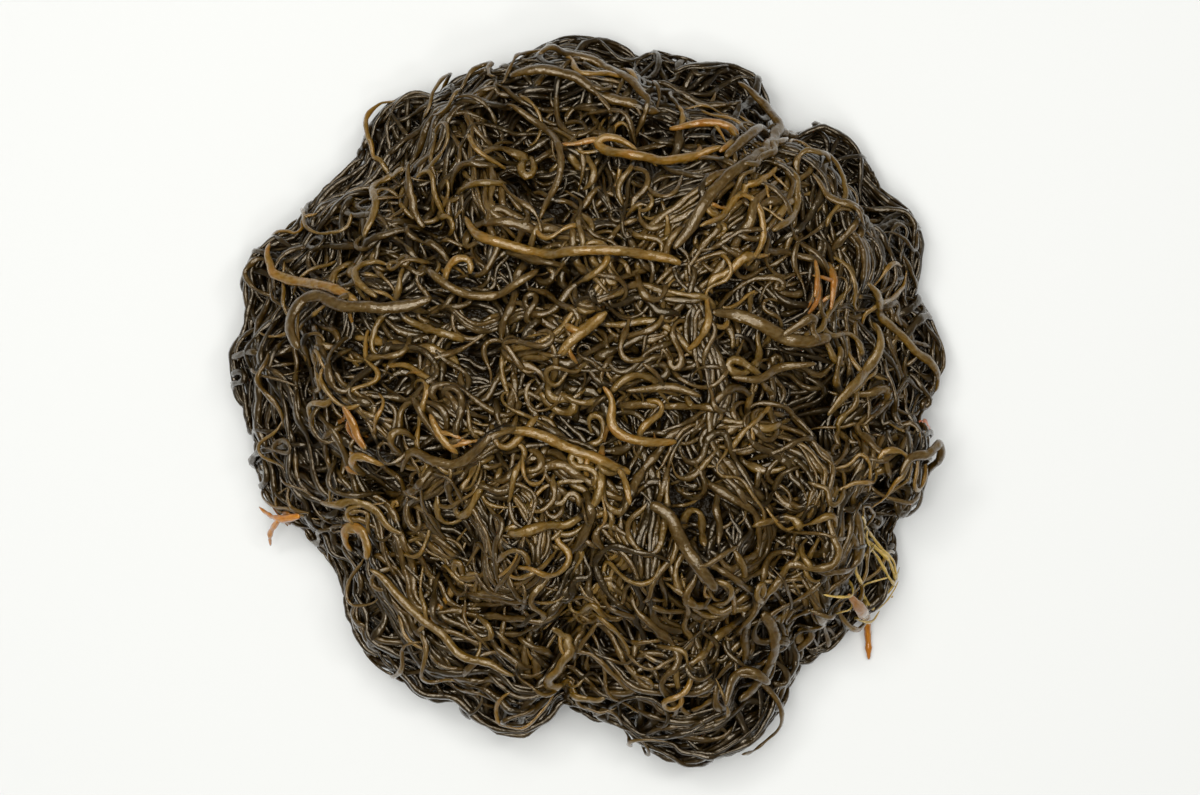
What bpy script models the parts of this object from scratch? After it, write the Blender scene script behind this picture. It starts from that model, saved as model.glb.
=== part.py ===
"""A drained heap of mozuku seaweed, as it lies on a flat surface. Metres, +Z up.

The origin is the middle of the flat underside. Plan routes are in millimetres, X to the right and
Y away from the viewer, who looks straight down on the heap.

The heap is many threads. Those that can't be told apart are the node tangled_threads: a dense
lump with locks of threads laid over it, all fused. The fronds that lie free on top are a node each.
"""

import math

import bmesh
import bpy
import numpy as np
from mathutils import Vector

MM = 0.001

# Driving dimensions, in millimetres
LUMP_HEIGHT = 45.0  # top of the dense lump under the locks
LUMP_INSET = 7.0  # how far the lump stays inside the heap's outline
LOCK_THICKNESS = 4.8  # a lock of threads is flatter than it is wide
UNDER_THICKNESS = 6.0
FROND_GAP = 1.0  # air between a free frond and what it lies on
SEED = 2207

# The heap's outline from above: angle in degrees from +X, and radius
OUTLINE = (
    (3, 95), (9, 93), (18, 89), (27, 96), (34, 96), (42, 95), (48, 97), (54, 91), (61, 95), (72, 92),
    (81, 92), (91, 96), (99, 94), (107, 90), (118, 93), (126, 93), (132, 89), (140, 93), (150, 92),
    (159, 98), (168, 96), (177, 94), (187, 92), (197, 90), (207, 84), (214, 86), (222, 87), (232, 91),
    (240, 90), (249, 89), (255, 92), (259, 88), (263, 82), (271, 84), (277, 89), (281, 95), (286, 100),
    (294, 98), (302, 93), (310, 88), (318, 90), (327, 92), (338, 88), (344, 92), (350, 93), (355, 88),
)

# The heap's profile from its top to the surface it rests on: share of the radius, share of the height
PROFILE = (
    (0.0, 1.0), (0.25, 0.985), (0.5, 0.93), (0.7, 0.83), (0.85, 0.67), (0.95, 0.45), (1.0, 0.24),
    (0.985, 0.09), (0.93, 0.0),
)

# Hills and hollows of the heap's top: x, y, spread, height
LUMPS = (
    (0, 12, 30, 4), (28, -34, 13, 5), (-18, -36, 12, 5), (0, 82, 16, 4), (-62, 30, 14, 3),
    (34, -76, 13, 5), (-40, -14, 12, 4), (30, 48, 16, 3), (-26, -76, 11, 3), (50, 22, 12, 3),
    (-36, -52, 12, -9), (47, -35, 7, -6), (64, -12, 8, -7), (78, 5, 12, -5), (71, 46, 9, -6),
    (-12, -74, 8, -7), (28, -62, 7, -6), (-84, 8, 9, -5), (24, 76, 6, -5), (-36, 74, 6, -5),
    (-23, 14, 5, -5), (-50, -22, 6, -5), (-44, 46, 7, -4), (-10, -3, 8, -3),
)

# Locks of threads that can be followed on the heap, lowest first: width, then the route in plan
LOCKS = (
    (6, ((-24, 86), (-14, 91), (-2, 93), (8, 91), (16, 92))),
    (6, ((16, 90), (26, 88), (36, 86), (42, 82))),
    (6, ((-58, 68), (-52, 78), (-44, 83), (-34, 84), (-28, 80))),
    (6, ((-77, 50), (-70, 57), (-62, 62), (-55, 70))),
    (6, ((-76, 44), (-86, 39), (-92, 30), (-91, 20))),
    (6, ((-93, 15), (-95, 2), (-93, -10), (-89, -22), (-83, -31))),
    (6, ((-86, 22), (-86, 8), (-87, -6), (-84, -20), (-80, -30))),
    (6, ((72, 66), (77, 58), (82, 50), (86, 43))),
    (5, ((60, 72), (68, 70), (72, 62))),
    (6, ((84, 38), (86, 30), (90, 20), (92, 10))),
    (6, ((80, -30), (79, -44), (72, -55), (62, -63), (52, -70))),
    (6, ((-72, -42), (-70, -52), (-64, -60))),
    (6, ((-62, -55), (-56, -66), (-48, -74), (-38, -79))),
    (6, ((-50, -36), (-40, -38), (-32, -46), (-24, -52))),
    (6, ((-52, -46), (-44, -54), (-34, -60), (-24, -62))),
    (5, ((-8, -80), (2, -82), (10, -84))),
    (6, ((66, -30), (62, -40), (58, -50), (50, -56))),
    (5, ((55, -50), (57, -60), (52, -68))),
    (5, ((50, -29), (60, -26), (70, -20), (80, -13))),
    (6, ((12, -76), (14, -85), (20, -92), (30, -91), (38, -84))),
    (6, ((48, -55), (49, -66), (47, -78), (39, -87), (28, -94))),
    (6, ((25, -66), (30, -74), (28, -82), (20, -84))),
    (6, ((-20, -68), (-18, -78), (-22, -87), (-30, -84))),
    (6, ((-60, -45), (-52, -54), (-43, -62), (-34, -70), (-27, -78), (-25, -86))),
    (6, ((-80, 44), (-70, 48), (-60, 48), (-52, 44))),
    (5, ((-48, 74), (-40, 74), (-36, 66), (-38, 60))),
    (6, ((-21, 82), (-10, 85), (2, 81), (12, 78))),
    (5, ((20, 80), (30, 84), (38, 83), (43, 78))),
    (7, ((58, 60), (62, 50), (65, 40), (68, 30), (70, 24))),
    (6, ((48, 62), (54, 56), (57, 46), (57, 36), (56, 28))),
    (7, ((45, 60), (35, 57), (25, 55), (15, 52), (8, 46))),
    (7, ((38, 56), (28, 50), (18, 44), (12, 38))),
    (6, ((40, 50), (33, 44), (26, 36), (22, 31))),
    (6, ((47, 55), (42, 46), (36, 38), (28, 31))),
    (6, ((-84, 12), (-78, 2), (-74, -6), (-64, -10), (-56, -14))),
    (7, ((-76, 20), (-70, 12), (-64, 4), (-58, -3), (-52, -8))),
    (5, ((-38, 20), (-40, 10), (-41, 0), (-38, -5), (-30, -7))),
    (4, ((-36, 24), (-30, 19), (-20, 21), (-10, 23))),
    (5, ((-10, 12), (0, 8), (8, 5))),
    (4, ((-15, 0), (-8, 1), (0, 0), (4, -5), (10, -10))),
    (4, ((4, 6), (10, 8), (16, 12), (20, 11))),
    (6, ((-26, 84), (-28, 77), (-31, 68), (-31, 58), (-29, 50), (-24, 44))),
    (6, ((-27, 58), (-25, 50), (-21, 45), (-13, 42), (-5, 41), (0, 35), (2, 28))),
    (5, ((4, 34), (2, 27), (-3, 23), (-9, 17), (-15, 12), (-23, 9))),
    (4, ((22, 26), (12, 27), (3, 25), (-3, 22))),
    (6, ((56, -14), (66, -17), (74, -14), (82, -8), (91, -1))),
    (6, ((80, -10), (80, -22), (86, -26), (90, -18))),
    (6, ((33, -3), (39, -9), (46, -14), (54, -20), (58, -25))),
    (6, ((34, -6), (42, -6), (50, -9), (56, -14), (61, -22))),
    (7, ((8, -30), (6, -40), (2, -50), (-4, -58))),
    (6, ((2, -28), (-2, -38), (-6, -46))),
    (6, ((14, -28), (14, -38), (13, -48), (15, -56), (18, -62))),
    (7, ((30, -20), (38, -24), (43, -32), (42, -40), (35, -45), (28, -42))),
    (5, ((20, -38), (21, -47), (27, -53), (36, -53), (46, -47), (56, -41))),
    (6, ((-22, -22), (-16, -28), (-14, -36), (-17, -43))),
    (6, ((-33, -26), (-28, -34), (-27, -43), (-22, -48), (-15, -45), (-14, -37))),
    (5, ((-12, -64), (-10, -72), (-4, -77), (6, -75), (14, -71), (22, -66))),
    (6, ((-30, -22), (-22, -19), (-12, -16), (-3, -18), (4, -23), (8, -26))),
    (5.5, ((-53, -29), (-44, -24), (-36, -18), (-28, -13), (-23, -8), (-21, -2))),
    (6.5, ((21, 28), (26, 23), (28, 15), (30, 7), (31, 0), (28, -7), (22, -13))),
)

# Fronds that lie free on the heap, lowest first: radius, colour, then the main axis and any branches
FRONDS = (
    (1.3, "amber", ((-35, 48), (-30, 42), (-20, 39), (-8, 36.5), (5, 37), (14, 36.5), (22, 34.5))),
    (1.2, "amber", ((-85, 40), (-85, 34), (-80, 31), (-72, 30), (-66, 28), (-62, 25))),
    (0.9, "olive", ((-54, 35), (-62, 37.5), (-63, 33), (-60, 29), (-56, 26))),
    (1.3, "brown", ((-76, 13), (-79, 20), (-77, 26), (-72, 27), (-66, 24), (-58, 23.5),
        (-50, 23.5), (-42, 26))),
    (1.0, "amber", ((-39, 29), (-39, 34), (-36, 38), (-32.5, 36), (-32, 32))),
    (1.0, "brown", ((-44, 34), (-38, 29), (-31, 26), (-24, 27), (-17, 29), (-14.5, 33))),
    (1.4, "brown", ((-22, 84), (-12, 85), (-4, 83), (3, 79.5), (10, 77.5), (17, 76))),
    (1.2, "brown", ((-13, 86), (-9, 89.5), (-2, 88.5), (5, 86), (10, 81), (13, 75))),
    (0.9, "olive", ((-50, 60), (-55, 60), (-59, 57), (-56, 51), (-56, 46), (-60, 42))),
    (0.9, "brown", ((-49, 62), (-49, 56), (-48, 50), (-45, 46))),
    (0.9, "brown", ((-23, 77), (-17, 74), (-12, 70), (-9, 64), (-9, 57), (-12, 51), (-14, 46))),
    (1.6, "amber", ((3, 22), (-1, 18), (-5, 15), (-9, 11.5))),
    (1.2, "amber", ((11, 64), (6, 68), (0, 68), (3, 63), (10, 60.5), (18, 61), (26, 63), (33, 65))),
    (1.1, "rust", ((20, 72), (27, 71.5), (33, 72), (38, 71.5), (36, 67), (32, 63.5))),
    (1.3, "brown", ((54, 84), (56, 78), (55, 73), (50, 70), (44, 70), (38, 66), (33, 61))),
    (1.3, "brown", ((38, 84), (43, 80), (47, 73), (46, 67), (40, 61), (33, 56), (28, 50), (24, 43), (20, 38)),
     ((38, 59), (44, 62), (50, 66))),
    (1.0, "amber", ((47, 60), (42, 55), (37, 53), (33, 47), (26, 43)),
        ((38, 53), (42, 47), (43, 40), (39, 34))),
    (0.9, "olive", ((50, 60), (53, 55), (52, 49), (49, 45), (44, 42))),
    (0.9, "brown", ((56, 58), (60, 52), (65, 47.5), (70, 46.5))),
    (1.0, "rust", ((57, 36), (57.5, 31), (56.5, 26))),
    (1.0, "rust", ((61.5, 36), (60.5, 30), (60, 23))),
    (1.3, "brown", ((30, 22), (36, 21.5), (42, 19), (48, 16), (54, 14.5), (61, 16)),
        ((54, 25), (56, 20), (58, 15))),
    (1.2, "olive", ((70, 30), (76, 23), (83, 17), (87, 11), (92, 7), (93, 2))),
    (1.1, "olive", ((73, 20), (75, 14), (71, 7), (65, 2), (60, -4))),
    (0.9, "brown", ((57, 9), (48, 8), (42, 5), (35, 5.5))),
    (1.0, "brown", ((8, 2), (14, 2.5), (20, 3), (27, 0.5)), ((19, 3), (15, 6), (12, 9))),
    (1.1, "amber", ((2, 3), (3, -4), (6, -9), (13, -11), (21, -11))),
    (1.3, "amber", ((-24, -8), (-16, -8.5), (-8, -11), (1, -15), (9, -19)), ((6, -17), (8, -22), (9, -27))),
    (1.2, "amber", ((-42, -4), (-40, -9), (-35, -14))),
    (1.1, "brown", ((-51, -20), (-48, -14), (-42, -15.5), (-37, -17.5), (-31, -14), (-26, -9))),
    (1.1, "rust", ((-64, -2), (-62, -8), (-58, -13))),
    (1.1, "amber", ((-53, -16), (-59, -14), (-63.5, -17), (-61, -21.5))),
    (0.9, "olive", ((-72, -27), (-66, -27), (-60, -25.5), (-57, -30), (-55, -34), (-50, -35))),
    (1.2, "amber", ((-60, -42), (-57, -38), (-59, -34), (-64, -33), (-67, -37), (-65, -40.5))),
    (1.2, "olive", ((-58, -44), (-52, -50), (-47, -55), (-41, -60), (-37, -65), (-32, -69),
        (-26, -68), (-21, -72))),
    (1.1, "olive", ((-11, -60), (-7, -66), (-12, -70), (-11, -75), (-5, -78), (3, -78))),
    (1.3, "brown", ((14, -27), (19, -30), (22, -36), (26, -42), (31, -49)),
        ((24, -43), (31, -41.5), (37, -38))),
    (1.2, "brown", ((80, -20), (81, -14), (86, -12), (89, -17), (88, -23))),
    (1.2, "rust", ((67, -52), (71, -57), (76, -61))),
    (1.4, "brown", ((44, -56), (48, -62), (48, -70), (45, -77), (38, -79))),
    (1.2, "brown", ((34, -80), (36, -74), (41, -71), (46, -75))),
    (1.2, "rust", ((-80, -30), (-85, -32), (-88, -36)), ((-84, -31.5), (-89, -29.5))),
)

COLOURS = {
    "dark": (0.030, 0.021, 0.008),
    "brown": (0.075, 0.050, 0.022),
    "olive": (0.120, 0.090, 0.020),
    "amber": (0.160, 0.090, 0.020),
    "rust": (0.200, 0.070, 0.022),
}
ROUGHNESS = 0.22

# How finely the pile is mapped, and how the tubes are cut up, in millimetres
CELL = 0.5
SPAN = 134.0
LOCK_STEP = 7.5
UNDER_STEP = 12.0
FROND_STEP = 3.4
PROBE_STEP = 0.8
LEVEL_CELLS = 8
LOCK_RISE = 0.2  # how much less than halfway a lock sinks in, as a share of its half thickness
LOCK_LIMPNESS = 3.0  # radius that a lock bends to over what it lies on
FROND_LIMPNESS = 7.0
BARE = 0.4  # less than this on the lump counts as bare
MOST_BARE = 0.05  # share of the lump that may stay bare
FLOOR_GAP = 0.4  # only the lump's flat underside touches what the heap stands on
EDGE_SHARE = 0.97  # no thread goes nearer the underside than this share of the run down the side
UNDER_LOCKS = 52  # at most
TRIES = 24


def through(points, per_piece=16):
    """A smooth line through the points."""
    p = np.array(points, float)
    p = np.vstack([2 * p[0] - p[1], p, 2 * p[-1] - p[-2]])
    t = np.linspace(0, 1, per_piece, endpoint=False)[:, None]
    runs = [
        0.5 * (2 * b + (c - a) * t + (2 * a - 5 * b + 4 * c - d) * t**2 + (3 * b - a - 3 * c + d) * t**3)
        for a, b, c, d in zip(p, p[1:], p[2:], p[3:])
    ]
    return np.vstack([*runs, p[-2:-1]])


def respaced(line, step):
    """The same line with its points at equal steps."""
    run = np.concatenate([[0], np.cumsum(np.linalg.norm(np.diff(line, axis=0), axis=1))])
    count = max(int(round(run[-1] / step)), 2)
    at = np.linspace(0, run[-1], count + 1)
    return np.column_stack([np.interp(at, run, line[:, i]) for i in range(line.shape[1])])


class Heap:
    """The dense lump's surface, unrolled flat from its top, and the pile of threads on it.

    A point of the unrolled map lies at its angle round the heap and at its run down the side."""

    def __init__(self):
        turn = np.radians([a for a, _ in OUTLINE])
        radius = np.array([r for _, r in OUTLINE], float)
        self.turns = np.concatenate([turn - 2 * np.pi, turn, turn + 2 * np.pi])
        self.radii = np.tile(radius, 3)
        self.mean_radius = radius.mean()
        profile = through(PROFILE)
        lengths = np.linalg.norm(np.diff(profile * (self.mean_radius, LUMP_HEIGHT), axis=0), axis=1)
        run = np.concatenate([[0], np.cumsum(lengths)])
        self.length = run[-1]
        self.profile_share = run / run[-1]
        self.profile = profile
        widest = int(np.argmax(profile[:, 0]))
        self.rising = profile[: widest + 1, 0], self.profile_share[: widest + 1]
        self.side = np.arange(-SPAN, SPAN + CELL / 2, CELL)
        grid_x, grid_y = np.meshgrid(self.side, self.side, indexing="ij")
        self.surface = self.on_lump(grid_x, grid_y)
        across = np.gradient(self.surface, CELL, axis=0)
        along = np.gradient(self.surface, CELL, axis=1)
        normal = np.cross(across, along)
        self.normal = normal / np.maximum(np.linalg.norm(normal, axis=2, keepdims=True), 1e-9)
        self.pile = np.zeros_like(grid_x)
        self.level = self.pile

    def outline(self, turn):
        smooth = [np.interp(turn + d, self.turns, self.radii) for d in (-0.05, 0.0, 0.05)]
        return (smooth[0] + 2 * smooth[1] + smooth[2]) / 4

    def reach(self, turn, share):
        """Radius of the heap there: even near the top, lobed towards the sides."""
        even = np.clip(share / 0.6, 0, 1)
        return self.mean_radius + (self.outline(turn) - self.mean_radius) * even**2 * (3 - 2 * even)

    def on_lump(self, x, y):
        turn = np.arctan2(y, x)
        share = np.minimum(np.hypot(x, y) / self.length, 1.0)
        widening = np.interp(share, self.profile_share, self.profile[:, 0])
        radius = (self.reach(turn, share) - LUMP_INSET) * widening
        height = LUMP_HEIGHT * np.interp(share, self.profile_share, self.profile[:, 1])
        px, py = radius * np.cos(turn), radius * np.sin(turn)
        fade = np.clip((0.82 - share) / 0.3, 0, 1)
        for lx, ly, spread, rise in LUMPS:
            height = height + fade * rise * np.exp(-((px - lx) ** 2 + (py - ly) ** 2) / (2 * spread**2))
        return np.stack([px, py, height], axis=-1)

    def unrolled(self, plan):
        """Plan points, as seen from above, on the unrolled map."""
        turn = np.arctan2(plan[:, 1], plan[:, 0])
        radius = np.hypot(plan[:, 0], plan[:, 1])
        share = radius / self.length
        for _ in range(6):
            share = np.interp(radius / self.reach(turn, share), *self.rising)
        return np.column_stack([np.cos(turn), np.sin(turn)]) * (share * self.length)[:, None]

    def at(self, field, flat):
        """A field of the map read at unrolled points."""
        place = np.clip((flat + SPAN) / CELL, 0, len(self.side) - 1.001)
        i, j = place[:, 0].astype(int), place[:, 1].astype(int)
        a, b = place[:, 0] - i, place[:, 1] - j
        if field.ndim == 3:
            a, b = a[:, None], b[:, None]
        low = field[i, j] * (1 - a) + field[i + 1, j] * a
        high = field[i, j + 1] * (1 - a) + field[i + 1, j + 1] * a
        return low * (1 - b) + high * b

    def under(self, plan, rise, step):
        """The unrolled route of a thread above the pile's level that is seen to follow a plan route."""
        aim = plan.copy()
        for _ in range(5):
            flat = self.unrolled(aim)
            got, _ = self.placed(flat, self.at(self.level, flat) + rise, 0.0)
            aim += 0.7 * (plan - got[:, :2])
        run = np.hypot(flat[:, 0], flat[:, 1])
        for _ in range(3):
            run[1:-1] = (run[:-2] + run[1:-1] + run[2:]) / 3
        return respaced(flat * (run / np.hypot(flat[:, 0], flat[:, 1]))[:, None], step)

    def placed(self, flat, lift, lowest):
        """Where points lie in space at a lift above the lump, and the way out there."""
        out = self.at(self.normal, flat)
        out /= np.linalg.norm(out, axis=1, keepdims=True)
        points = self.at(self.surface, flat) + out * lift[:, None]
        points[:, 2] = np.maximum(points[:, 2], lowest)
        return points, out

    def stretch(self, flat):
        """How much wider the unrolled map is than the real surface, round the heap."""
        share = np.maximum(np.hypot(flat[:, 0], flat[:, 1]) / self.length, 0.05)
        radius = self.mean_radius * np.interp(share, self.profile_share, self.profile[:, 0])
        return np.maximum(share * self.length / radius, 1.0)

    def around(self, flat, reach):
        """Cells of the map within reach of each point, and their real distances from it."""
        cells = int(math.ceil(reach * 1.6 / CELL))
        step = np.arange(-cells, cells + 1)
        di, dj = (d.ravel() for d in np.meshgrid(step, step, indexing="ij"))
        middle = np.rint((flat + SPAN) / CELL).astype(int)
        i = np.clip(middle[:, :1] + di, 0, len(self.side) - 1)
        j = np.clip(middle[:, 1:] + dj, 0, len(self.side) - 1)
        across, along = self.side[i] - flat[:, :1], self.side[j] - flat[:, 1:]
        way = flat / np.maximum(np.hypot(flat[:, :1], flat[:, 1:]), 1e-6)
        down = across * way[:, :1] + along * way[:, 1:]
        round_heap = (along * way[:, :1] - across * way[:, 1:]) / self.stretch(flat)[:, None]
        return i, j, np.hypot(down, round_heap)

    def lay(self, flat, half_width, half_height, limpness, gap=0.0, sunk=False):
        """Lifts at which a thread rests on the pile, or half sunk in it, at each of its points."""
        lengths = np.linalg.norm(np.diff(flat, axis=0), axis=1)
        sag = lengths.mean() ** 2 / (2 * limpness)
        parts = max(int(math.ceil(lengths.max() / PROBE_STEP)), 1)
        share = np.tile(np.arange(parts) / parts, len(flat) - 1)
        first = np.repeat(np.arange(len(flat) - 1), parts)
        share, first = np.append(share, 1.0), np.append(first, len(flat) - 2)
        probes = flat[first] * (1 - share[:, None]) + flat[first + 1] * share[:, None]
        if sunk:
            need = self.at(self.pile, probes) + LOCK_RISE * half_height
        else:
            wide = half_width + gap
            i, j, distance = self.around(probes, wide)
            bulge = (half_height + gap) * np.sqrt(np.clip(1 - (distance / wide) ** 2, 0, 1))
            need = np.where(distance < wide, self.pile[i, j] + bulge, half_height + gap).max(axis=1)
        span = np.linalg.norm(probes[:, None] - probes[None], axis=2)
        run = np.interp(first + share, np.arange(len(flat)), np.concatenate([[0], np.cumsum(lengths)]))
        near = 2.2 * half_width + gap
        crossing = np.triu((run - run[:, None] > 4 * near) & (span < near))
        lift = np.zeros(len(flat))
        for _ in range(60):
            over = np.interp(first + share, np.arange(len(flat)), lift)
            own = np.where(crossing, over[:, None] + 2 * half_height + gap, -1e9).max(axis=0)
            short = np.maximum(np.maximum(need, own) - over, 0)
            np.maximum.at(raised := np.zeros(len(flat)), first, short)
            np.maximum.at(raised, first + 1, np.where(share > 0, short, 0))
            lift = lift + raised
            hung = lift.copy()
            hung[1:-1] = np.maximum(lift[1:-1], (lift[:-2] + lift[2:]) / 2 - sag)
            lift = hung
        return lift

    def settle(self):
        """Takes the pile's level afresh: the pile averaged over its surroundings."""
        level = self.pile
        for axis in (0, 1, 0, 1):
            edges = [(LEVEL_CELLS, LEVEL_CELLS) if a == axis else (0, 0) for a in (0, 1)]
            total = np.cumsum(np.pad(level, edges, mode="edge"), axis=axis)
            ahead = np.take(total, np.arange(2 * LEVEL_CELLS, total.shape[axis]), axis=axis)
            behind = np.take(total, np.arange(0, total.shape[axis] - 2 * LEVEL_CELLS), axis=axis)
            level = (ahead - behind) / (2 * LEVEL_CELLS)
        self.level = level

    def stamp(self, flat, lift, half_width, half_height, roof=False):
        """Adds a laid thread to the pile, round or with two slopes like a roof."""
        along = np.arange(len(flat))
        fine = np.linspace(0, len(flat) - 1, max(len(flat) * 8, 2))
        points = np.column_stack([np.interp(fine, along, flat[:, 0]), np.interp(fine, along, flat[:, 1])])
        top = np.interp(fine, along, lift)
        i, j, distance = self.around(points, half_width)
        away = np.minimum(distance / half_width, 1)
        crown = top[:, None] + half_height * (1 - 1.5 * away if roof else np.sqrt(1 - away**2))
        np.maximum.at(self.pile, (i, j), np.where(away < 1, crown, 0))


def wandering(rng, start, length):
    """A route through start that curves one way and then the other."""
    count = int(length / UNDER_STEP) + 1
    bend = rng.choice([-1, 1]) * UNDER_STEP / rng.uniform(25, 90)
    flip = int(rng.uniform(0.4, 0.8) * count)
    turn = np.where(np.arange(count) < flip, bend, -bend * rng.uniform(0.3, 1.0)) + rng.normal(0, 0.06, count)
    angle = rng.uniform(0, 2 * np.pi) + np.cumsum(turn)
    line = np.cumsum(np.column_stack([np.cos(angle), np.sin(angle)]) * UNDER_STEP, axis=0)
    return start + line - line[int(count * rng.uniform(0.3, 0.7))]


def under_routes(heap, rng):
    """Broad locks under the ones that can be followed, each sent where the lump is still bare."""
    run = np.hypot(*np.meshgrid(heap.side, heap.side, indexing="ij"))
    limit = heap.length * EDGE_SHARE
    on_lump = run < limit
    for _ in range(UNDER_LOCKS):
        bare = np.argwhere(on_lump & (heap.pile < BARE))
        if len(bare) < MOST_BARE * on_lump.sum():
            return
        width = rng.uniform(9.0, 12.0)
        best = None
        for _ in range(TRIES):
            start = heap.side[bare[rng.integers(len(bare))]]
            flat = wandering(rng, start, rng.uniform(60, 105))
            flat *= np.minimum(1, limit / np.hypot(flat[:, 0], flat[:, 1]))[:, None]
            flat = respaced(flat, UNDER_STEP)
            i, j, distance = heap.around(flat, width / 2)
            won = ((heap.pile[i, j] < BARE) & (distance < width / 2)).mean()
            if best is None or won > best[0]:
                best = won, flat
        yield width, best[1]


def laid_locks(heap, rng):
    """Every lock as its half width, half thickness, points in space and ways out."""
    for width, flat in under_routes(heap, rng):
        yield laid_lock(heap, flat, width / 2, UNDER_THICKNESS / 2)
    for n, (width, route) in enumerate(LOCKS):
        if n % 8 == 0:
            heap.settle()
        flat = heap.under(respaced(through(route), LOCK_STEP), LOCK_THICKNESS / 2, LOCK_STEP)
        yield laid_lock(heap, flat, width / 2, LOCK_THICKNESS / 2)


def laid_lock(heap, flat, half_width, half_height):
    lift = heap.lay(flat, half_width, half_height, LOCK_LIMPNESS, sunk=True)
    heap.stamp(flat, lift, half_width, half_height, roof=True)
    return half_width, half_height, *heap.placed(flat, lift, half_height + FLOOR_GAP)


def laid_fronds(heap):
    """Every frond as its colour and its stems, each a radius, points in space and ways out."""
    heap.settle()
    for radius, colour, *routes in FRONDS:
        stems, stamps = [], []
        for order, route in enumerate(routes):
            stem_radius = radius * (1.0 if order == 0 else 0.75)
            plan = respaced(through(route), FROND_STEP)
            rise = stem_radius
            for _ in range(2):
                flat = heap.under(plan, rise, FROND_STEP)
                lift = heap.lay(flat, stem_radius, stem_radius, FROND_LIMPNESS, gap=FROND_GAP)
                rise = (lift - heap.at(heap.level, flat)).mean()
            if order > 0:
                main_flat, main_lift, _ = stamps[0]
                nearest = np.argmin(np.linalg.norm(main_flat - flat[0], axis=1))
                flat[0], lift[0] = main_flat[nearest], main_lift[nearest]
            stamps.append((flat, lift, stem_radius))
            stems.append((stem_radius, *heap.placed(flat, lift, stem_radius + FLOOR_GAP)))
        for flat, lift, stem_radius in stamps:
            heap.stamp(flat, lift, stem_radius, stem_radius)
        yield colour, stems


def tube(name, points, out, half_width, half_height, sides, tip):
    """A closed tube along points, flat across the way out, tapered at its two ends."""
    ahead = np.gradient(points, axis=0)
    ahead /= np.linalg.norm(ahead, axis=1, keepdims=True)
    across = np.cross(out, ahead)
    across /= np.linalg.norm(across, axis=1, keepdims=True)
    up = np.cross(ahead, across)
    taper = np.ones(len(points))
    taper[[0, -1]] = tip
    taper[[1, -2]] = (1 + tip) / 2 if len(points) > 4 else 1
    mesh = bmesh.new()
    rings = []
    for k, point in enumerate(points):
        ring = []
        for s in range(sides):
            angle = 2 * math.pi * (s + (0.75 if sides == 3 else 0.5)) / sides
            offset = across[k] * math.cos(angle) * half_width + up[k] * math.sin(angle) * half_height
            corner = point + offset * taper[k]
            corner[2] = max(corner[2], FLOOR_GAP)
            ring.append(mesh.verts.new(Vector(corner * MM)))
        rings.append(ring)
    for low, high in zip(rings, rings[1:]):
        for s in range(sides):
            after = (s + 1) % sides
            mesh.faces.new((low[s], low[after], high[after], high[s]))
    mesh.faces.new(rings[0][::-1])
    mesh.faces.new(rings[-1])
    bmesh.ops.triangulate(mesh, faces=mesh.faces)
    bmesh.ops.recalc_face_normals(mesh, faces=mesh.faces)
    data = bpy.data.meshes.new(name)
    mesh.to_mesh(data)
    mesh.free()
    made = bpy.data.objects.new(name, data)
    bpy.context.scene.collection.objects.link(made)
    return made


def lump(heap, name):
    """The dense lump: rings of points down its side, closed by a flat underside."""
    around, down = 40, 12
    mesh = bmesh.new()
    top = mesh.verts.new(Vector(heap.on_lump(np.array([0.0]), np.array([0.0]))[0] * MM))
    rings = []
    for d in range(1, down + 1):
        share = d / down
        turn = np.linspace(0, 2 * np.pi, around, endpoint=False) + 0.5 * d * 2 * np.pi / around
        run = share * heap.length
        points = heap.on_lump(run * np.cos(turn), run * np.sin(turn))
        rings.append([mesh.verts.new(Vector(p * MM)) for p in points])
    for a, b in zip(rings[0], rings[0][1:] + rings[0][:1]):
        mesh.faces.new((top, a, b))
    for low, high in zip(rings, rings[1:]):
        for s in range(around):
            after = (s + 1) % around
            mesh.faces.new((low[s], high[s], low[after]))
            mesh.faces.new((high[s], high[after], low[after]))
    mesh.faces.new(rings[-1][::-1])
    bmesh.ops.recalc_face_normals(mesh, faces=mesh.faces)
    data = bpy.data.meshes.new(name)
    mesh.to_mesh(data)
    mesh.free()
    made = bpy.data.objects.new(name, data)
    bpy.context.scene.collection.objects.link(made)
    return made


def fused(base, others):
    """base joined to the others in one body by a Boolean union, which is applied."""
    if not others:
        return base
    group = bpy.data.collections.new(base.name + "_parts")
    for other in others:
        group.objects.link(other)
    union = base.modifiers.new("union", "BOOLEAN")
    union.operand_type = "COLLECTION"
    union.collection = group
    union.operation = "UNION"
    union.solver = "MANIFOLD"
    graph = bpy.context.evaluated_depsgraph_get()
    data = bpy.data.meshes.new_from_object(base.evaluated_get(graph))
    base.modifiers.clear()
    base.data = data
    for other in others:
        bpy.data.objects.remove(other)
    bpy.data.collections.remove(group)
    return base


def volume_of(faces):
    """Signed volume inside a set of faces."""
    total = 0.0
    for face in faces:
        corners = [v.co for v in face.verts]
        for b, c in zip(corners[1:], corners[2:]):
            total += corners[0].dot(b.cross(c)) / 6
    return total


def keep_main_body(made):
    """Fills hollows that fusing sealed and drops loose scraps: only the largest shell stays."""
    mesh = bmesh.new()
    mesh.from_mesh(made.data)
    left, shells = set(mesh.faces), []
    while left:
        shell, edge = set(), [left.pop()]
        while edge:
            face = edge.pop()
            shell.add(face)
            for near in {f for e in face.edges if len(e.link_faces) == 2 for f in e.link_faces} & left:
                left.discard(near)
                edge.append(near)
        shells.append(shell)
    largest = max(shells, key=volume_of)
    spare = [f for shell in shells if shell is not largest for f in shell]
    bmesh.ops.delete(mesh, geom=spare, context="FACES")
    bmesh.ops.triangulate(mesh, faces=mesh.faces)
    mesh.to_mesh(made.data)
    mesh.free()
    return made


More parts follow.
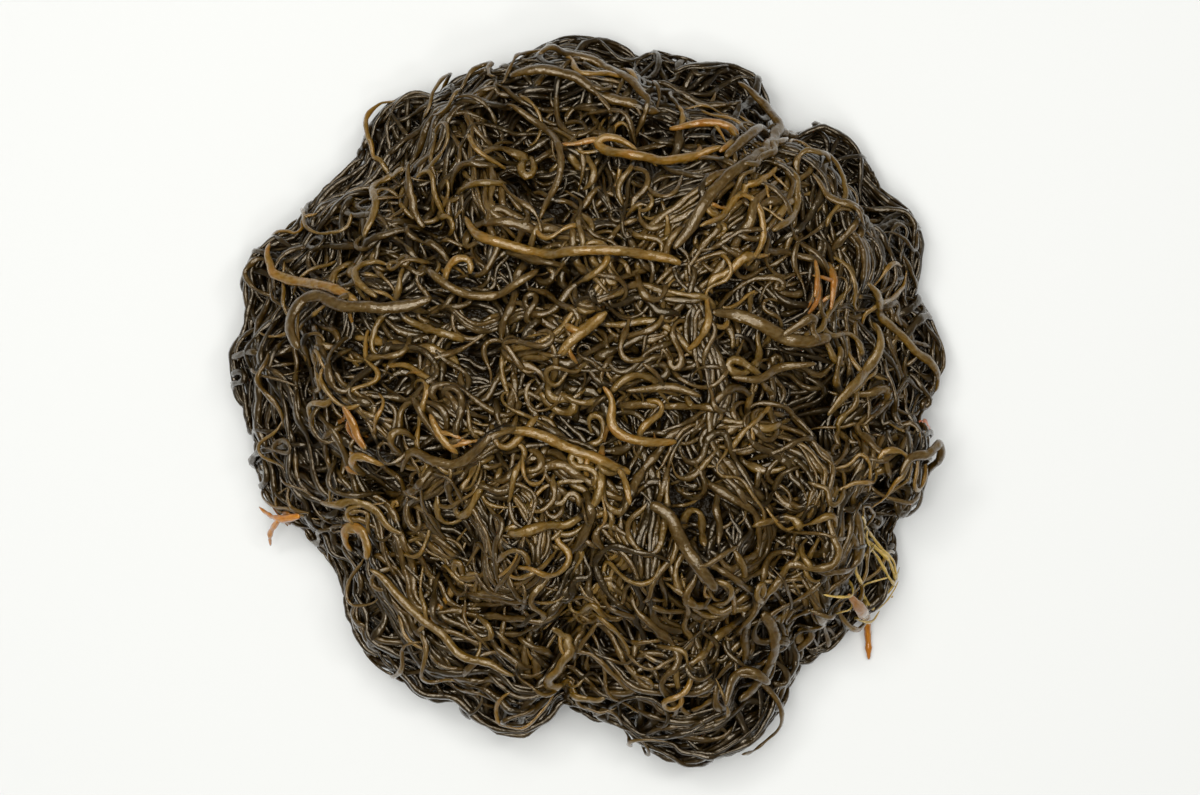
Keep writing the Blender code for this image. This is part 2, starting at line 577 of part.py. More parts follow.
def material(colour):
    """A wet, dark surface in one of the seaweed's colours."""
    made = bpy.data.materials.get(colour)
    if made is None:
        made = bpy.data.materials.new(colour)
        made.use_nodes = True
        shader = made.node_tree.nodes["Principled BSDF"]
        shader.inputs["Base Color"].default_value = (*COLOURS[colour], 1)
        shader.inputs["Roughness"].default_value = ROUGHNESS
        shader.inputs["Metallic"].default_value = 0.0
    return made


def finished(made, colour):
    made.data.materials.clear()
    made.data.materials.append(material(colour))
    made.data.shade_smooth()
    made.data.set_sharp_from_angle(angle=math.radians(50))
    return made


def build():
    for old in list(bpy.data.objects):
        bpy.data.objects.remove(old)
    heap = Heap()
    rng = np.random.default_rng(SEED)
    locks = [
        tube(f"lock_{n}", points, out, half_width * 1.15, half_height, 3, tip=0.35)
        for n, (half_width, half_height, points, out) in enumerate(laid_locks(heap, rng))
    ]
    finished(keep_main_body(fused(lump(heap, "tangled_threads"), locks)), "dark")
    for n, (colour, stems) in enumerate(laid_fronds(heap), 1):
        parts = [
            tube(f"frond_{n:02d}" if k == 0 else "branch", points, out, radius, radius, 4, tip=0.5)
            for k, (radius, points, out) in enumerate(stems)
        ]
        finished(keep_main_body(fused(parts[0], parts[1:])), colour)


build()
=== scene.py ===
"""The looks of a drained heap of mozuku seaweed: some thousands of wet threads laid one by one.

Metres, +Z up, with the origin in the middle of the flat underside. Plan routes are in
millimetres, X to the right and Y away from the viewer, who looks straight down on the heap.
"""

import math

import bpy
import numpy as np
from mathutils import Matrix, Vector


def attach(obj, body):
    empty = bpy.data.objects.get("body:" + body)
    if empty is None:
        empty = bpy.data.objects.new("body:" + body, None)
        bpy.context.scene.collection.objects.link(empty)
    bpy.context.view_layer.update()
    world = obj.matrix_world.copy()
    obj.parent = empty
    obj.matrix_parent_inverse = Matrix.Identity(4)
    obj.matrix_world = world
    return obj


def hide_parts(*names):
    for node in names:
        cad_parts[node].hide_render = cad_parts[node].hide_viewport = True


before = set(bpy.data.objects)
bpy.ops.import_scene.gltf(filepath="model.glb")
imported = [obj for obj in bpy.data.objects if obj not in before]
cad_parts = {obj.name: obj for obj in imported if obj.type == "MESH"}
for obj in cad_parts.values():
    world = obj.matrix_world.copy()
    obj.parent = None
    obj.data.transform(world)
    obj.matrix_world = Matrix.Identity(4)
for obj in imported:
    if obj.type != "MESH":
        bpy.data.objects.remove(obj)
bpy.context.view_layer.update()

MM = 0.001

# The solid model's lump, locks and fronds, in millimetres
LUMP_HEIGHT = 45.0
LUMP_INSET = 7.0
LOCK_THICKNESS = 4.8
UNDER_THICKNESS = 6.0
FROND_GAP = 1.0
SEED = 2207

# The threads of the looks
DEPTH = 4.9  # how far below the solid model's pile they start
CORE_GAP = 0.5  # how far the dark core lies under the pile that the threads start on
MOST_SHORT = 0.02  # a lift this close to what is needed will do
RIM = 93.0  # about the mean radius of the heap
RIM_PAINTED_SHADE = 0.5  # how much darker the threads round the rim are painted: painted shade on the heap's steep sides
RIM_ROOM = 4.5  # how far outside the outline threads reach at most
FILLING_BUNDLES = 170  # at most
FILLING_TRIES = 10  # places tried for each of them
LOCK_DENSITY = 1.9  # threads of a lock, against a single layer side by side
THIN = 2.5  # where the pile is this much too low after the inner threads, it gets more
MOST_THIN = 0.002  # share of the heap that may stay too low
FULL = 1.2  # where it is this much too high, it gets no more
RIM_FULL = 3.0  # the same for the threads that run round the rim
TUCKED = 1.6  # how far a thread's ends dip in under the others
TUCK = 2.2  # over what length of it
STRAYS = 6  # short curly threads laid with each lock
FREE_THREADS = 300
RIM_THREADS = 110  # that run round the rim
RIM_LOOPS = 80  # that stand out from it
SMALL_CURLS = 120
SHADE_DEPTH = 2.2  # depth in the pile at which threads' painted shade is deepest
DEEPEST_SHADE = 0.93  # how much darker the painted shade makes them there

# Threads that stand out by their colour: radius, colour, route in plan
MARKED = (
    (0.5, "pale", ((67, -30), (69, -34), (71, -38), (73.5, -42), (75, -46), (74.5, -50))),
    (0.4, "pale", ((68.5, -33), (71.5, -36), (72.5, -39.5), (74.5, -42), (74.5, -46))),
    (0.4, "pale", ((69, -34), (69, -37.5), (71.5, -41), (72, -45), (74.5, -47.5))),
    (0.45, "pale", ((72, -45), (69.5, -48), (70, -52), (73, -53.5), (75, -50), (74.5, -46))),
    (0.4, "pale", ((70, -52), (67, -50), (65.5, -52.5), (66.5, -55.5), (70, -55.5), (73, -53.5))),
    (0.4, "pale", ((71, -38), (68.5, -40), (67, -43.5), (67.5, -47), (69.5, -48))),
    (0.4, "pale", ((67.5, -47), (64, -48.5), (61, -50), (58.5, -50))),
    (0.35, "pale", ((67, -50), (63, -53), (61.5, -56))),
    (0.35, "pale", ((74, -44), (77, -45.5), (78.5, -45))),
    (0.35, "pale", ((75, -50), (78, -51), (80, -52.5))),
    (1.1, "pink", ((83, -5), (85.5, -7.5), (87, -11))),
    (0.7, "pink", ((85.5, -7.5), (88.5, -7))),
)

# Tips that hang over the rim on to the surface: radius, colour, route in space
HANGING = (
    (1.2, "rusty", ((70, -52, 9), (72, -56, 6.5), (73.2, -60, 4), (73.8, -65, 2), (74, -70.5, 1.3))),
    (0.8, "rusty", ((-78, -31, 23), (-84, -32, 17), (-88, -30.5, 12), (-90, -29, 10.5))),
    (0.8, "rusty", ((-84, -32, 17), (-87, -36, 10), (-87.5, -39.5, 5))),
)

# The heap's outline from above: angle in degrees from +X, and radius
OUTLINE = (
    (3, 95), (9, 93), (18, 89), (27, 96), (34, 96), (42, 95), (48, 97), (54, 91), (61, 95), (72, 92),
    (81, 92), (91, 96), (99, 94), (107, 90), (118, 93), (126, 93), (132, 89), (140, 93), (150, 92),
    (159, 98), (168, 96), (177, 94), (187, 92), (197, 90), (207, 84), (214, 86), (222, 87), (232, 91),
    (240, 90), (249, 89), (255, 92), (259, 88), (263, 82), (271, 84), (277, 89), (281, 95), (286, 100),
    (294, 98), (302, 93), (310, 88), (318, 90), (327, 92), (338, 88), (344, 92), (350, 93), (355, 88),
)

# The heap's profile from its top to the surface it rests on: share of the radius, share of the height
PROFILE = (
    (0.0, 1.0), (0.25, 0.985), (0.5, 0.93), (0.7, 0.83), (0.85, 0.67), (0.95, 0.45), (1.0, 0.24),
    (0.985, 0.09), (0.93, 0.0),
)

# Hills and hollows of the heap's top: x, y, spread, height
LUMPS = (
    (0, 12, 30, 4), (28, -34, 13, 5), (-18, -36, 12, 5), (0, 82, 16, 4), (-62, 30, 14, 3),
    (34, -76, 13, 5), (-40, -14, 12, 4), (30, 48, 16, 3), (-26, -76, 11, 3), (50, 22, 12, 3),
    (-36, -52, 12, -9), (47, -35, 7, -6), (64, -12, 8, -7), (78, 5, 12, -5), (71, 46, 9, -6),
    (-12, -74, 8, -7), (28, -62, 7, -6), (-84, 8, 9, -5), (24, 76, 6, -5), (-36, 74, 6, -5),
    (-23, 14, 5, -5), (-50, -22, 6, -5), (-44, 46, 7, -4), (-10, -3, 8, -3),
)

# Locks of threads that can be followed on the heap, lowest first: width, then the route in plan
LOCKS = (
    (6, ((-24, 86), (-14, 91), (-2, 93), (8, 91), (16, 92))),
    (6, ((16, 90), (26, 88), (36, 86), (42, 82))),
    (6, ((-58, 68), (-52, 78), (-44, 83), (-34, 84), (-28, 80))),
    (6, ((-77, 50), (-70, 57), (-62, 62), (-55, 70))),
    (6, ((-76, 44), (-86, 39), (-92, 30), (-91, 20))),
    (6, ((-93, 15), (-95, 2), (-93, -10), (-89, -22), (-83, -31))),
    (6, ((-86, 22), (-86, 8), (-87, -6), (-84, -20), (-80, -30))),
    (6, ((72, 66), (77, 58), (82, 50), (86, 43))),
    (5, ((60, 72), (68, 70), (72, 62))),
    (6, ((84, 38), (86, 30), (90, 20), (92, 10))),
    (6, ((80, -30), (79, -44), (72, -55), (62, -63), (52, -70))),
    (6, ((-72, -42), (-70, -52), (-64, -60))),
    (6, ((-62, -55), (-56, -66), (-48, -74), (-38, -79))),
    (6, ((-50, -36), (-40, -38), (-32, -46), (-24, -52))),
    (6, ((-52, -46), (-44, -54), (-34, -60), (-24, -62))),
    (5, ((-8, -80), (2, -82), (10, -84))),
    (6, ((66, -30), (62, -40), (58, -50), (50, -56))),
    (5, ((55, -50), (57, -60), (52, -68))),
    (5, ((50, -29), (60, -26), (70, -20), (80, -13))),
    (6, ((12, -76), (14, -85), (20, -92), (30, -91), (38, -84))),
    (6, ((48, -55), (49, -66), (47, -78), (39, -87), (28, -94))),
    (6, ((25, -66), (30, -74), (28, -82), (20, -84))),
    (6, ((-20, -68), (-18, -78), (-22, -87), (-30, -84))),
    (6, ((-60, -45), (-52, -54), (-43, -62), (-34, -70), (-27, -78), (-25, -86))),
    (6, ((-80, 44), (-70, 48), (-60, 48), (-52, 44))),
    (5, ((-48, 74), (-40, 74), (-36, 66), (-38, 60))),
    (6, ((-21, 82), (-10, 85), (2, 81), (12, 78))),
    (5, ((20, 80), (30, 84), (38, 83), (43, 78))),
    (7, ((58, 60), (62, 50), (65, 40), (68, 30), (70, 24))),
    (6, ((48, 62), (54, 56), (57, 46), (57, 36), (56, 28))),
    (7, ((45, 60), (35, 57), (25, 55), (15, 52), (8, 46))),
    (7, ((38, 56), (28, 50), (18, 44), (12, 38))),
    (6, ((40, 50), (33, 44), (26, 36), (22, 31))),
    (6, ((47, 55), (42, 46), (36, 38), (28, 31))),
    (6, ((-84, 12), (-78, 2), (-74, -6), (-64, -10), (-56, -14))),
    (7, ((-76, 20), (-70, 12), (-64, 4), (-58, -3), (-52, -8))),
    (5, ((-38, 20), (-40, 10), (-41, 0), (-38, -5), (-30, -7))),
    (4, ((-36, 24), (-30, 19), (-20, 21), (-10, 23))),
    (5, ((-10, 12), (0, 8), (8, 5))),
    (4, ((-15, 0), (-8, 1), (0, 0), (4, -5), (10, -10))),
    (4, ((4, 6), (10, 8), (16, 12), (20, 11))),
    (6, ((-26, 84), (-28, 77), (-31, 68), (-31, 58), (-29, 50), (-24, 44))),
    (6, ((-27, 58), (-25, 50), (-21, 45), (-13, 42), (-5, 41), (0, 35), (2, 28))),
    (5, ((4, 34), (2, 27), (-3, 23), (-9, 17), (-15, 12), (-23, 9))),
    (4, ((22, 26), (12, 27), (3, 25), (-3, 22))),
    (6, ((56, -14), (66, -17), (74, -14), (82, -8), (91, -1))),
    (6, ((80, -10), (80, -22), (86, -26), (90, -18))),
    (6, ((33, -3), (39, -9), (46, -14), (54, -20), (58, -25))),
    (6, ((34, -6), (42, -6), (50, -9), (56, -14), (61, -22))),
    (7, ((8, -30), (6, -40), (2, -50), (-4, -58))),
    (6, ((2, -28), (-2, -38), (-6, -46))),
    (6, ((14, -28), (14, -38), (13, -48), (15, -56), (18, -62))),
    (7, ((30, -20), (38, -24), (43, -32), (42, -40), (35, -45), (28, -42))),
    (5, ((20, -38), (21, -47), (27, -53), (36, -53), (46, -47), (56, -41))),
    (6, ((-22, -22), (-16, -28), (-14, -36), (-17, -43))),
    (6, ((-33, -26), (-28, -34), (-27, -43), (-22, -48), (-15, -45), (-14, -37))),
    (5, ((-12, -64), (-10, -72), (-4, -77), (6, -75), (14, -71), (22, -66))),
    (6, ((-30, -22), (-22, -19), (-12, -16), (-3, -18), (4, -23), (8, -26))),
    (5.5, ((-53, -29), (-44, -24), (-36, -18), (-28, -13), (-23, -8), (-21, -2))),
    (6.5, ((21, 28), (26, 23), (28, 15), (30, 7), (31, 0), (28, -7), (22, -13))),
)

# Fronds that lie free on the heap, lowest first: radius, colour, then the main axis and any branches
FRONDS = (
    (1.3, "amber", ((-35, 48), (-30, 42), (-20, 39), (-8, 36.5), (5, 37), (14, 36.5), (22, 34.5))),
    (1.2, "amber", ((-85, 40), (-85, 34), (-80, 31), (-72, 30), (-66, 28), (-62, 25))),
    (0.9, "olive", ((-54, 35), (-62, 37.5), (-63, 33), (-60, 29), (-56, 26))),
    (1.3, "brown", ((-76, 13), (-79, 20), (-77, 26), (-72, 27), (-66, 24), (-58, 23.5),
        (-50, 23.5), (-42, 26))),
    (1.0, "amber", ((-39, 29), (-39, 34), (-36, 38), (-32.5, 36), (-32, 32))),
    (1.0, "brown", ((-44, 34), (-38, 29), (-31, 26), (-24, 27), (-17, 29), (-14.5, 33))),
    (1.4, "brown", ((-22, 84), (-12, 85), (-4, 83), (3, 79.5), (10, 77.5), (17, 76))),
    (1.2, "brown", ((-13, 86), (-9, 89.5), (-2, 88.5), (5, 86), (10, 81), (13, 75))),
    (0.9, "olive", ((-50, 60), (-55, 60), (-59, 57), (-56, 51), (-56, 46), (-60, 42))),
    (0.9, "brown", ((-49, 62), (-49, 56), (-48, 50), (-45, 46))),
    (0.9, "brown", ((-23, 77), (-17, 74), (-12, 70), (-9, 64), (-9, 57), (-12, 51), (-14, 46))),
    (1.6, "amber", ((3, 22), (-1, 18), (-5, 15), (-9, 11.5))),
    (1.2, "amber", ((11, 64), (6, 68), (0, 68), (3, 63), (10, 60.5), (18, 61), (26, 63), (33, 65))),
    (1.1, "rust", ((20, 72), (27, 71.5), (33, 72), (38, 71.5), (36, 67), (32, 63.5))),
    (1.3, "brown", ((54, 84), (56, 78), (55, 73), (50, 70), (44, 70), (38, 66), (33, 61))),
    (1.3, "brown", ((38, 84), (43, 80), (47, 73), (46, 67), (40, 61), (33, 56), (28, 50), (24, 43), (20, 38)),
     ((38, 59), (44, 62), (50, 66))),
    (1.0, "amber", ((47, 60), (42, 55), (37, 53), (33, 47), (26, 43)),
        ((38, 53), (42, 47), (43, 40), (39, 34))),
    (0.9, "olive", ((50, 60), (53, 55), (52, 49), (49, 45), (44, 42))),
    (0.9, "brown", ((56, 58), (60, 52), (65, 47.5), (70, 46.5))),
    (1.0, "rust", ((57, 36), (57.5, 31), (56.5, 26))),
    (1.0, "rust", ((61.5, 36), (60.5, 30), (60, 23))),
    (1.3, "brown", ((30, 22), (36, 21.5), (42, 19), (48, 16), (54, 14.5), (61, 16)),
        ((54, 25), (56, 20), (58, 15))),
    (1.2, "olive", ((70, 30), (76, 23), (83, 17), (87, 11), (92, 7), (93, 2))),
    (1.1, "olive", ((73, 20), (75, 14), (71, 7), (65, 2), (60, -4))),
    (0.9, "brown", ((57, 9), (48, 8), (42, 5), (35, 5.5))),
    (1.0, "brown", ((8, 2), (14, 2.5), (20, 3), (27, 0.5)), ((19, 3), (15, 6), (12, 9))),
    (1.1, "amber", ((2, 3), (3, -4), (6, -9), (13, -11), (21, -11))),
    (1.3, "amber", ((-24, -8), (-16, -8.5), (-8, -11), (1, -15), (9, -19)), ((6, -17), (8, -22), (9, -27))),
    (1.2, "amber", ((-42, -4), (-40, -9), (-35, -14))),
    (1.1, "brown", ((-51, -20), (-48, -14), (-42, -15.5), (-37, -17.5), (-31, -14), (-26, -9))),
    (1.1, "rust", ((-64, -2), (-62, -8), (-58, -13))),
    (1.1, "amber", ((-53, -16), (-59, -14), (-63.5, -17), (-61, -21.5))),
    (0.9, "olive", ((-72, -27), (-66, -27), (-60, -25.5), (-57, -30), (-55, -34), (-50, -35))),
    (1.2, "amber", ((-60, -42), (-57, -38), (-59, -34), (-64, -33), (-67, -37), (-65, -40.5))),
    (1.2, "olive", ((-58, -44), (-52, -50), (-47, -55), (-41, -60), (-37, -65), (-32, -69),
        (-26, -68), (-21, -72))),
    (1.1, "olive", ((-11, -60), (-7, -66), (-12, -70), (-11, -75), (-5, -78), (3, -78))),
    (1.3, "brown", ((14, -27), (19, -30), (22, -36), (26, -42), (31, -49)),
        ((24, -43), (31, -41.5), (37, -38))),
    (1.2, "brown", ((80, -20), (81, -14), (86, -12), (89, -17), (88, -23))),
    (1.2, "rust", ((67, -52), (71, -57), (76, -61))),
    (1.4, "brown", ((44, -56), (48, -62), (48, -70), (45, -77), (38, -79))),
    (1.2, "brown", ((34, -80), (36, -74), (41, -71), (46, -75))),
    (1.2, "rust", ((-80, -30), (-85, -32), (-88, -36)), ((-84, -31.5), (-89, -29.5))),
)

# How finely the pile is mapped, and how the solid model's tubes are cut up, in millimetres
CELL = 0.5
SPAN = 134.0
LOBED_FROM = 0.6  # share of the run down the side from which the heap has all the outline's lobes
HILLS_END = 0.82  # share of it where the hills and hollows end
HILLS_FADE = 0.3  # over what share of it they fade
LOCK_STEP = 7.5
UNDER_STEP = 12.0
FROND_STEP = 3.4
PROBE_STEP = 0.8
LEVEL_CELLS = 8  # each way, that the pile's level is averaged over
MOST_STRETCH = 1.6  # of the unrolled map that is allowed for
LOCK_RISE = 0.2  # how much less than halfway a lock sinks in, as a share of its half thickness
LOCK_LIMPNESS = 3.0  # radius that a lock bends to over what it lies on
FROND_LIMPNESS = 7.0
BRANCH = 0.75  # radius of a frond's branches, as a share of that of its main axis
AIMS = 5  # rounds in which a route is shifted until it is seen where it should be
AIM_PULL = 0.7  # share of what it is off by that each round takes away
UNROLLINGS = 6  # rounds in which a plan point's run down the side is found
BARE = 0.4  # less than this on the lump counts as bare
MOST_BARE = 0.05  # share of the lump that may stay bare
EDGE_SHARE = 0.97  # no thread goes nearer the underside than this share of the run down the side
SLOWED = 0.1  # last share of that run over which a thread is held back from its end
MOST_RAISES = 60  # of a thread, until it clears what it lies on
TINY = 1e-9  # stands in for a length of nothing where something is divided by it
UNDER_LOCKS = 52  # at most
TRIES = 24  # places tried for each of them
SETTLED_EVERY = 8  # locks laid before the pile's level is taken afresh
THREADS_SETTLED_EVERY = 6  # the same for the locks' threads


def through(points, per_piece=16):
    """A smooth line through the points."""
    p = np.array(points, float)
    p = np.vstack([2 * p[0] - p[1], p, 2 * p[-1] - p[-2]])
    t = np.linspace(0, 1, per_piece, endpoint=False)[:, None]
    runs = [
        0.5 * (2 * b + (c - a) * t + (2 * a - 5 * b + 4 * c - d) * t**2 + (3 * b - a - 3 * c + d) * t**3)
        for a, b, c, d in zip(p, p[1:], p[2:], p[3:])
    ]
    return np.vstack([*runs, p[-2:-1]])


def run_along(line):
    """How far along the line each of its points is."""
    return np.concatenate([[0], np.cumsum(np.linalg.norm(np.diff(line, axis=0), axis=1))])


def respaced(line, step, columns=None):
    """The same line with its points at equal steps, measured in its first columns."""
    run = run_along(line[:, :columns])
    count = max(int(round(run[-1] / step)), 2)
    at = np.linspace(0, run[-1], count + 1)
    return np.column_stack([np.interp(at, run, line[:, i]) for i in range(line.shape[1])])


def unit(vectors):
    return vectors / np.maximum(np.linalg.norm(vectors, axis=-1, keepdims=True), TINY)


def ways(angle):
    """Steps of unit length at the angles."""
    return np.column_stack([np.cos(angle), np.sin(angle)])


def from_middle(points):
    """How far points are from the middle, in plan or on the unrolled map."""
    return np.hypot(points[:, 0], points[:, 1])


def outward(flat):
    """The way straight out from the middle of the unrolled map, at each point."""
    return flat / np.maximum(from_middle(flat), TINY)[:, None]


class Heap:
    """The dense lump's surface, unrolled flat from its top, and the pile of threads on it.

    A point of the unrolled map lies at its angle round the heap and at its run down the side."""

    def __init__(self):
        turn = np.radians([a for a, _ in OUTLINE])
        radius = np.array([r for _, r in OUTLINE], float)
        self.turns = np.concatenate([turn - 2 * np.pi, turn, turn + 2 * np.pi])
        self.radii = np.tile(radius, 3)
        self.mean_radius = radius.mean()
        profile = through(PROFILE)
        run = run_along(profile * (self.mean_radius, LUMP_HEIGHT))
        self.length = run[-1]
        self.limit = self.length * EDGE_SHARE
        self.profile_share = run / run[-1]
        self.profile = profile
        widest = int(np.argmax(profile[:, 0]))
        self.rising = profile[: widest + 1, 0], self.profile_share[: widest + 1]
        self.side = np.arange(-SPAN, SPAN + CELL / 2, CELL)
        grid_x, grid_y = np.meshgrid(self.side, self.side, indexing="ij")
        self.used = np.hypot(grid_x, grid_y) < self.limit
        self.surface = self.on_lump(grid_x, grid_y)
        across = np.gradient(self.surface, CELL, axis=0)
        along = np.gradient(self.surface, CELL, axis=1)
        self.normal = unit(np.cross(across, along))
        self.pile = np.zeros_like(grid_x)
        self.level = self.pile
        self.lowest = 0.0

    def start_below(self, pile, depth):
        """Starts a depth below another pile's level, for finer threads to build up to it again."""
        self.goal = pile.pile.copy()
        self.pile = pile.pile
        self.settle()
        self.pile = np.maximum(self.level, 0) - depth
        self.level = self.pile
        self.lowest = -depth

    def excess(self, flat):
        """How far the pile is above its goal along a route."""
        return self.at(self.pile - self.goal, flat)

    def outline(self, turn):
        smooth = [np.interp(turn + d, self.turns, self.radii) for d in (-0.05, 0.0, 0.05)]
        return (smooth[0] + 2 * smooth[1] + smooth[2]) / 4

    def reach(self, turn, share):
        """Radius of the heap there: even near the top, lobed towards the sides."""
        even = np.clip(share / LOBED_FROM, 0, 1)
        return self.mean_radius + (self.outline(turn) - self.mean_radius) * even**2 * (3 - 2 * even)

    def on_lump(self, x, y):
        turn = np.arctan2(y, x)
        share = np.minimum(np.hypot(x, y) / self.length, 1.0)
        widening = np.interp(share, self.profile_share, self.profile[:, 0])
        radius = (self.reach(turn, share) - LUMP_INSET) * widening
        height = LUMP_HEIGHT * np.interp(share, self.profile_share, self.profile[:, 1])
        px, py = radius * np.cos(turn), radius * np.sin(turn)
        fade = np.clip((HILLS_END - share) / HILLS_FADE, 0, 1)
        for lx, ly, spread, rise in LUMPS:
            height = height + fade * rise * np.exp(-((px - lx) ** 2 + (py - ly) ** 2) / (2 * spread**2))
        return np.stack([px, py, height], axis=-1)

    def unrolled(self, plan):
        """Plan points, as seen from above, on the unrolled map."""
        turn = np.arctan2(plan[:, 1], plan[:, 0])
        radius = from_middle(plan)
        share = radius / self.length
        for _ in range(UNROLLINGS):
            share = np.interp(radius / self.reach(turn, share), *self.rising)
        return ways(turn) * (share * self.length)[:, None]

    def at(self, field, flat):
        """A field of the map read at unrolled points."""
        place = np.clip((flat + SPAN) / CELL, 0, len(self.side) - 1.001)
        i, j = place[:, 0].astype(int), place[:, 1].astype(int)
        a, b = place[:, 0] - i, place[:, 1] - j
        if field.ndim == 3:
            a, b = a[:, None], b[:, None]
        low = field[i, j] * (1 - a) + field[i + 1, j] * a
        high = field[i, j + 1] * (1 - a) + field[i + 1, j + 1] * a
        return low * (1 - b) + high * b

    def under(self, plan, rise, step):
        """The unrolled route of a thread above the pile's level that is seen to follow a plan route."""
        aim = plan.copy()
        for _ in range(AIMS):
            flat = self.unrolled(aim)
            got, _ = self.placed(flat, self.at(self.level, flat) + rise, 0.0)
            aim += AIM_PULL * (plan - got[:, :2])
        run = from_middle(flat)
        for _ in range(3):
            run[1:-1] = (run[:-2] + run[1:-1] + run[2:]) / 3
        return respaced(flat * (run / from_middle(flat))[:, None], step)

    def placed(self, flat, lift, lowest):
        """Where points lie in space at a lift above the lump, and the way out there."""
        out = unit(self.at(self.normal, flat))
        points = self.at(self.surface, flat) + out * lift[:, None]
        points[:, 2] = np.maximum(points[:, 2], lowest)
        return points, out

    def stretch(self, flat):
        """How much wider the unrolled map is than the real surface, round the heap."""
        share = np.maximum(from_middle(flat) / self.length, 0.05)
        radius = self.mean_radius * np.interp(share, self.profile_share, self.profile[:, 0])
        return np.maximum(share * self.length / radius, 1.0)

    def around(self, flat, reach):
        """Cells of the map within reach of each point, and their real distances from it."""
        cells = int(math.ceil(reach * MOST_STRETCH / CELL))
        step = np.arange(-cells, cells + 1)
        di, dj = (d.ravel() for d in np.meshgrid(step, step, indexing="ij"))
        middle = np.rint((flat + SPAN) / CELL).astype(int)
        i = np.clip(middle[:, :1] + di, 0, len(self.side) - 1)
        j = np.clip(middle[:, 1:] + dj, 0, len(self.side) - 1)
        across, along = self.side[i] - flat[:, :1], self.side[j] - flat[:, 1:]
        way = outward(flat)
        down = across * way[:, :1] + along * way[:, 1:]
        round_heap = (along * way[:, :1] - across * way[:, 1:]) / self.stretch(flat)[:, None]
        return i, j, np.hypot(down, round_heap)

    def lay(self, flat, half_width, half_height, limpness, gap=0.0, sunk=False):
        """Lifts at which a thread rests on the pile, or half sunk in it, at each of its points."""
        lengths = np.linalg.norm(np.diff(flat, axis=0), axis=1)
        sag = lengths.mean() ** 2 / (2 * limpness)
        parts = max(int(math.ceil(lengths.max() / PROBE_STEP)), 1)
        share = np.tile(np.arange(parts) / parts, len(flat) - 1)
        first = np.repeat(np.arange(len(flat) - 1), parts)
        share, first = np.append(share, 1.0), np.append(first, len(flat) - 2)
        probes = flat[first] * (1 - share[:, None]) + flat[first + 1] * share[:, None]
        if sunk:
            need = self.at(self.pile, probes) + LOCK_RISE * half_height
        else:
            wide = half_width + gap
            i, j, distance = self.around(probes, wide)
            bulge = (half_height + gap) * np.sqrt(np.clip(1 - (distance / wide) ** 2, 0, 1))
            least = self.lowest + half_height + gap
            need = np.where(distance < wide, self.pile[i, j] + bulge, least).max(axis=1)
        span = np.linalg.norm(probes[:, None] - probes[None], axis=2)
        run = np.interp(first + share, np.arange(len(flat)), np.concatenate([[0], np.cumsum(lengths)]))
        near = 2.2 * half_width + gap
        crossing = np.triu((run - run[:, None] > 4 * near) & (span < near))
        lift = np.full(len(flat), self.lowest)
        for _ in range(MOST_RAISES):
            over = np.interp(first + share, np.arange(len(flat)), lift)
            own = np.where(crossing, over[:, None] + 2 * half_height + gap, -1e9).max(axis=0)
            short = np.maximum(np.maximum(need, own) - over, 0)
            if short.max() < MOST_SHORT:
                break
            raised = np.zeros(len(flat))
            np.maximum.at(raised, first, short)
            np.maximum.at(raised, first + 1, np.where(share > 0, short, 0))
            lift = lift + raised
            hung = lift.copy()
            hung[1:-1] = np.maximum(lift[1:-1], (lift[:-2] + lift[2:]) / 2 - sag)
            lift = hung
        return lift

    def settle(self):
        """Takes the pile's level afresh: the pile averaged over its surroundings."""
        level = self.pile
        for axis in (0, 1, 0, 1):
            edges = [(LEVEL_CELLS, LEVEL_CELLS) if a == axis else (0, 0) for a in (0, 1)]
            total = np.cumsum(np.pad(level, edges, mode="edge"), axis=axis)
            ahead = np.take(total, np.arange(2 * LEVEL_CELLS, total.shape[axis]), axis=axis)
            behind = np.take(total, np.arange(0, total.shape[axis] - 2 * LEVEL_CELLS), axis=axis)
            level = (ahead - behind) / (2 * LEVEL_CELLS)
        self.level = level

    def stamp(self, flat, lift, half_width, half_height, roof=False):
        """Adds a laid thread to the pile, round or with two slopes like a roof."""
        along = np.arange(len(flat))
        fine = np.linspace(0, len(flat) - 1, len(flat) * (8 if roof else 4))
        points = np.column_stack([np.interp(fine, along, flat[:, 0]), np.interp(fine, along, flat[:, 1])])
        top = np.interp(fine, along, lift)
        i, j, distance = self.around(points, half_width)
        away = np.minimum(distance / half_width, 1)
        crown = top[:, None] + half_height * (1 - 1.5 * away if roof else np.sqrt(1 - away**2))
        np.maximum.at(self.pile, (i, j), np.where(away < 1, crown, self.lowest))


def wandering(rng, start, length):
    """A route through start that curves one way and then the other."""
    count = int(length / UNDER_STEP) + 1
    bend = rng.choice([-1, 1]) * UNDER_STEP / rng.uniform(25, 90)
    flip = int(rng.uniform(0.4, 0.8) * count)
    turn = np.where(np.arange(count) < flip, bend, -bend * rng.uniform(0.3, 1.0)) + rng.normal(0, 0.06, count)
    angle = rng.uniform(0, 2 * np.pi) + np.cumsum(turn)
    line = np.cumsum(ways(angle) * UNDER_STEP, axis=0)
    return start + line - line[int(count * rng.uniform(0.3, 0.7))]


def under_routes(heap, rng):
    """Broad locks under the ones that can be followed, each sent where the lump is still bare."""
    for _ in range(UNDER_LOCKS):
        bare = np.argwhere(heap.used & (heap.pile < BARE))
        if len(bare) < MOST_BARE * heap.used.sum():
            return
        width = rng.uniform(9.0, 12.0)
        best = None
        for _ in range(TRIES):
            start = heap.side[bare[rng.integers(len(bare))]]
            flat = wandering(rng, start, rng.uniform(60, 105))
            flat *= np.minimum(1, heap.limit / from_middle(flat))[:, None]
            flat = respaced(flat, UNDER_STEP)
            i, j, distance = heap.around(flat, width / 2)
            won = ((heap.pile[i, j] < BARE) & (distance < width / 2)).mean()
            if best is None or won > best[0]:
                best = won, flat
        yield width, best[1]


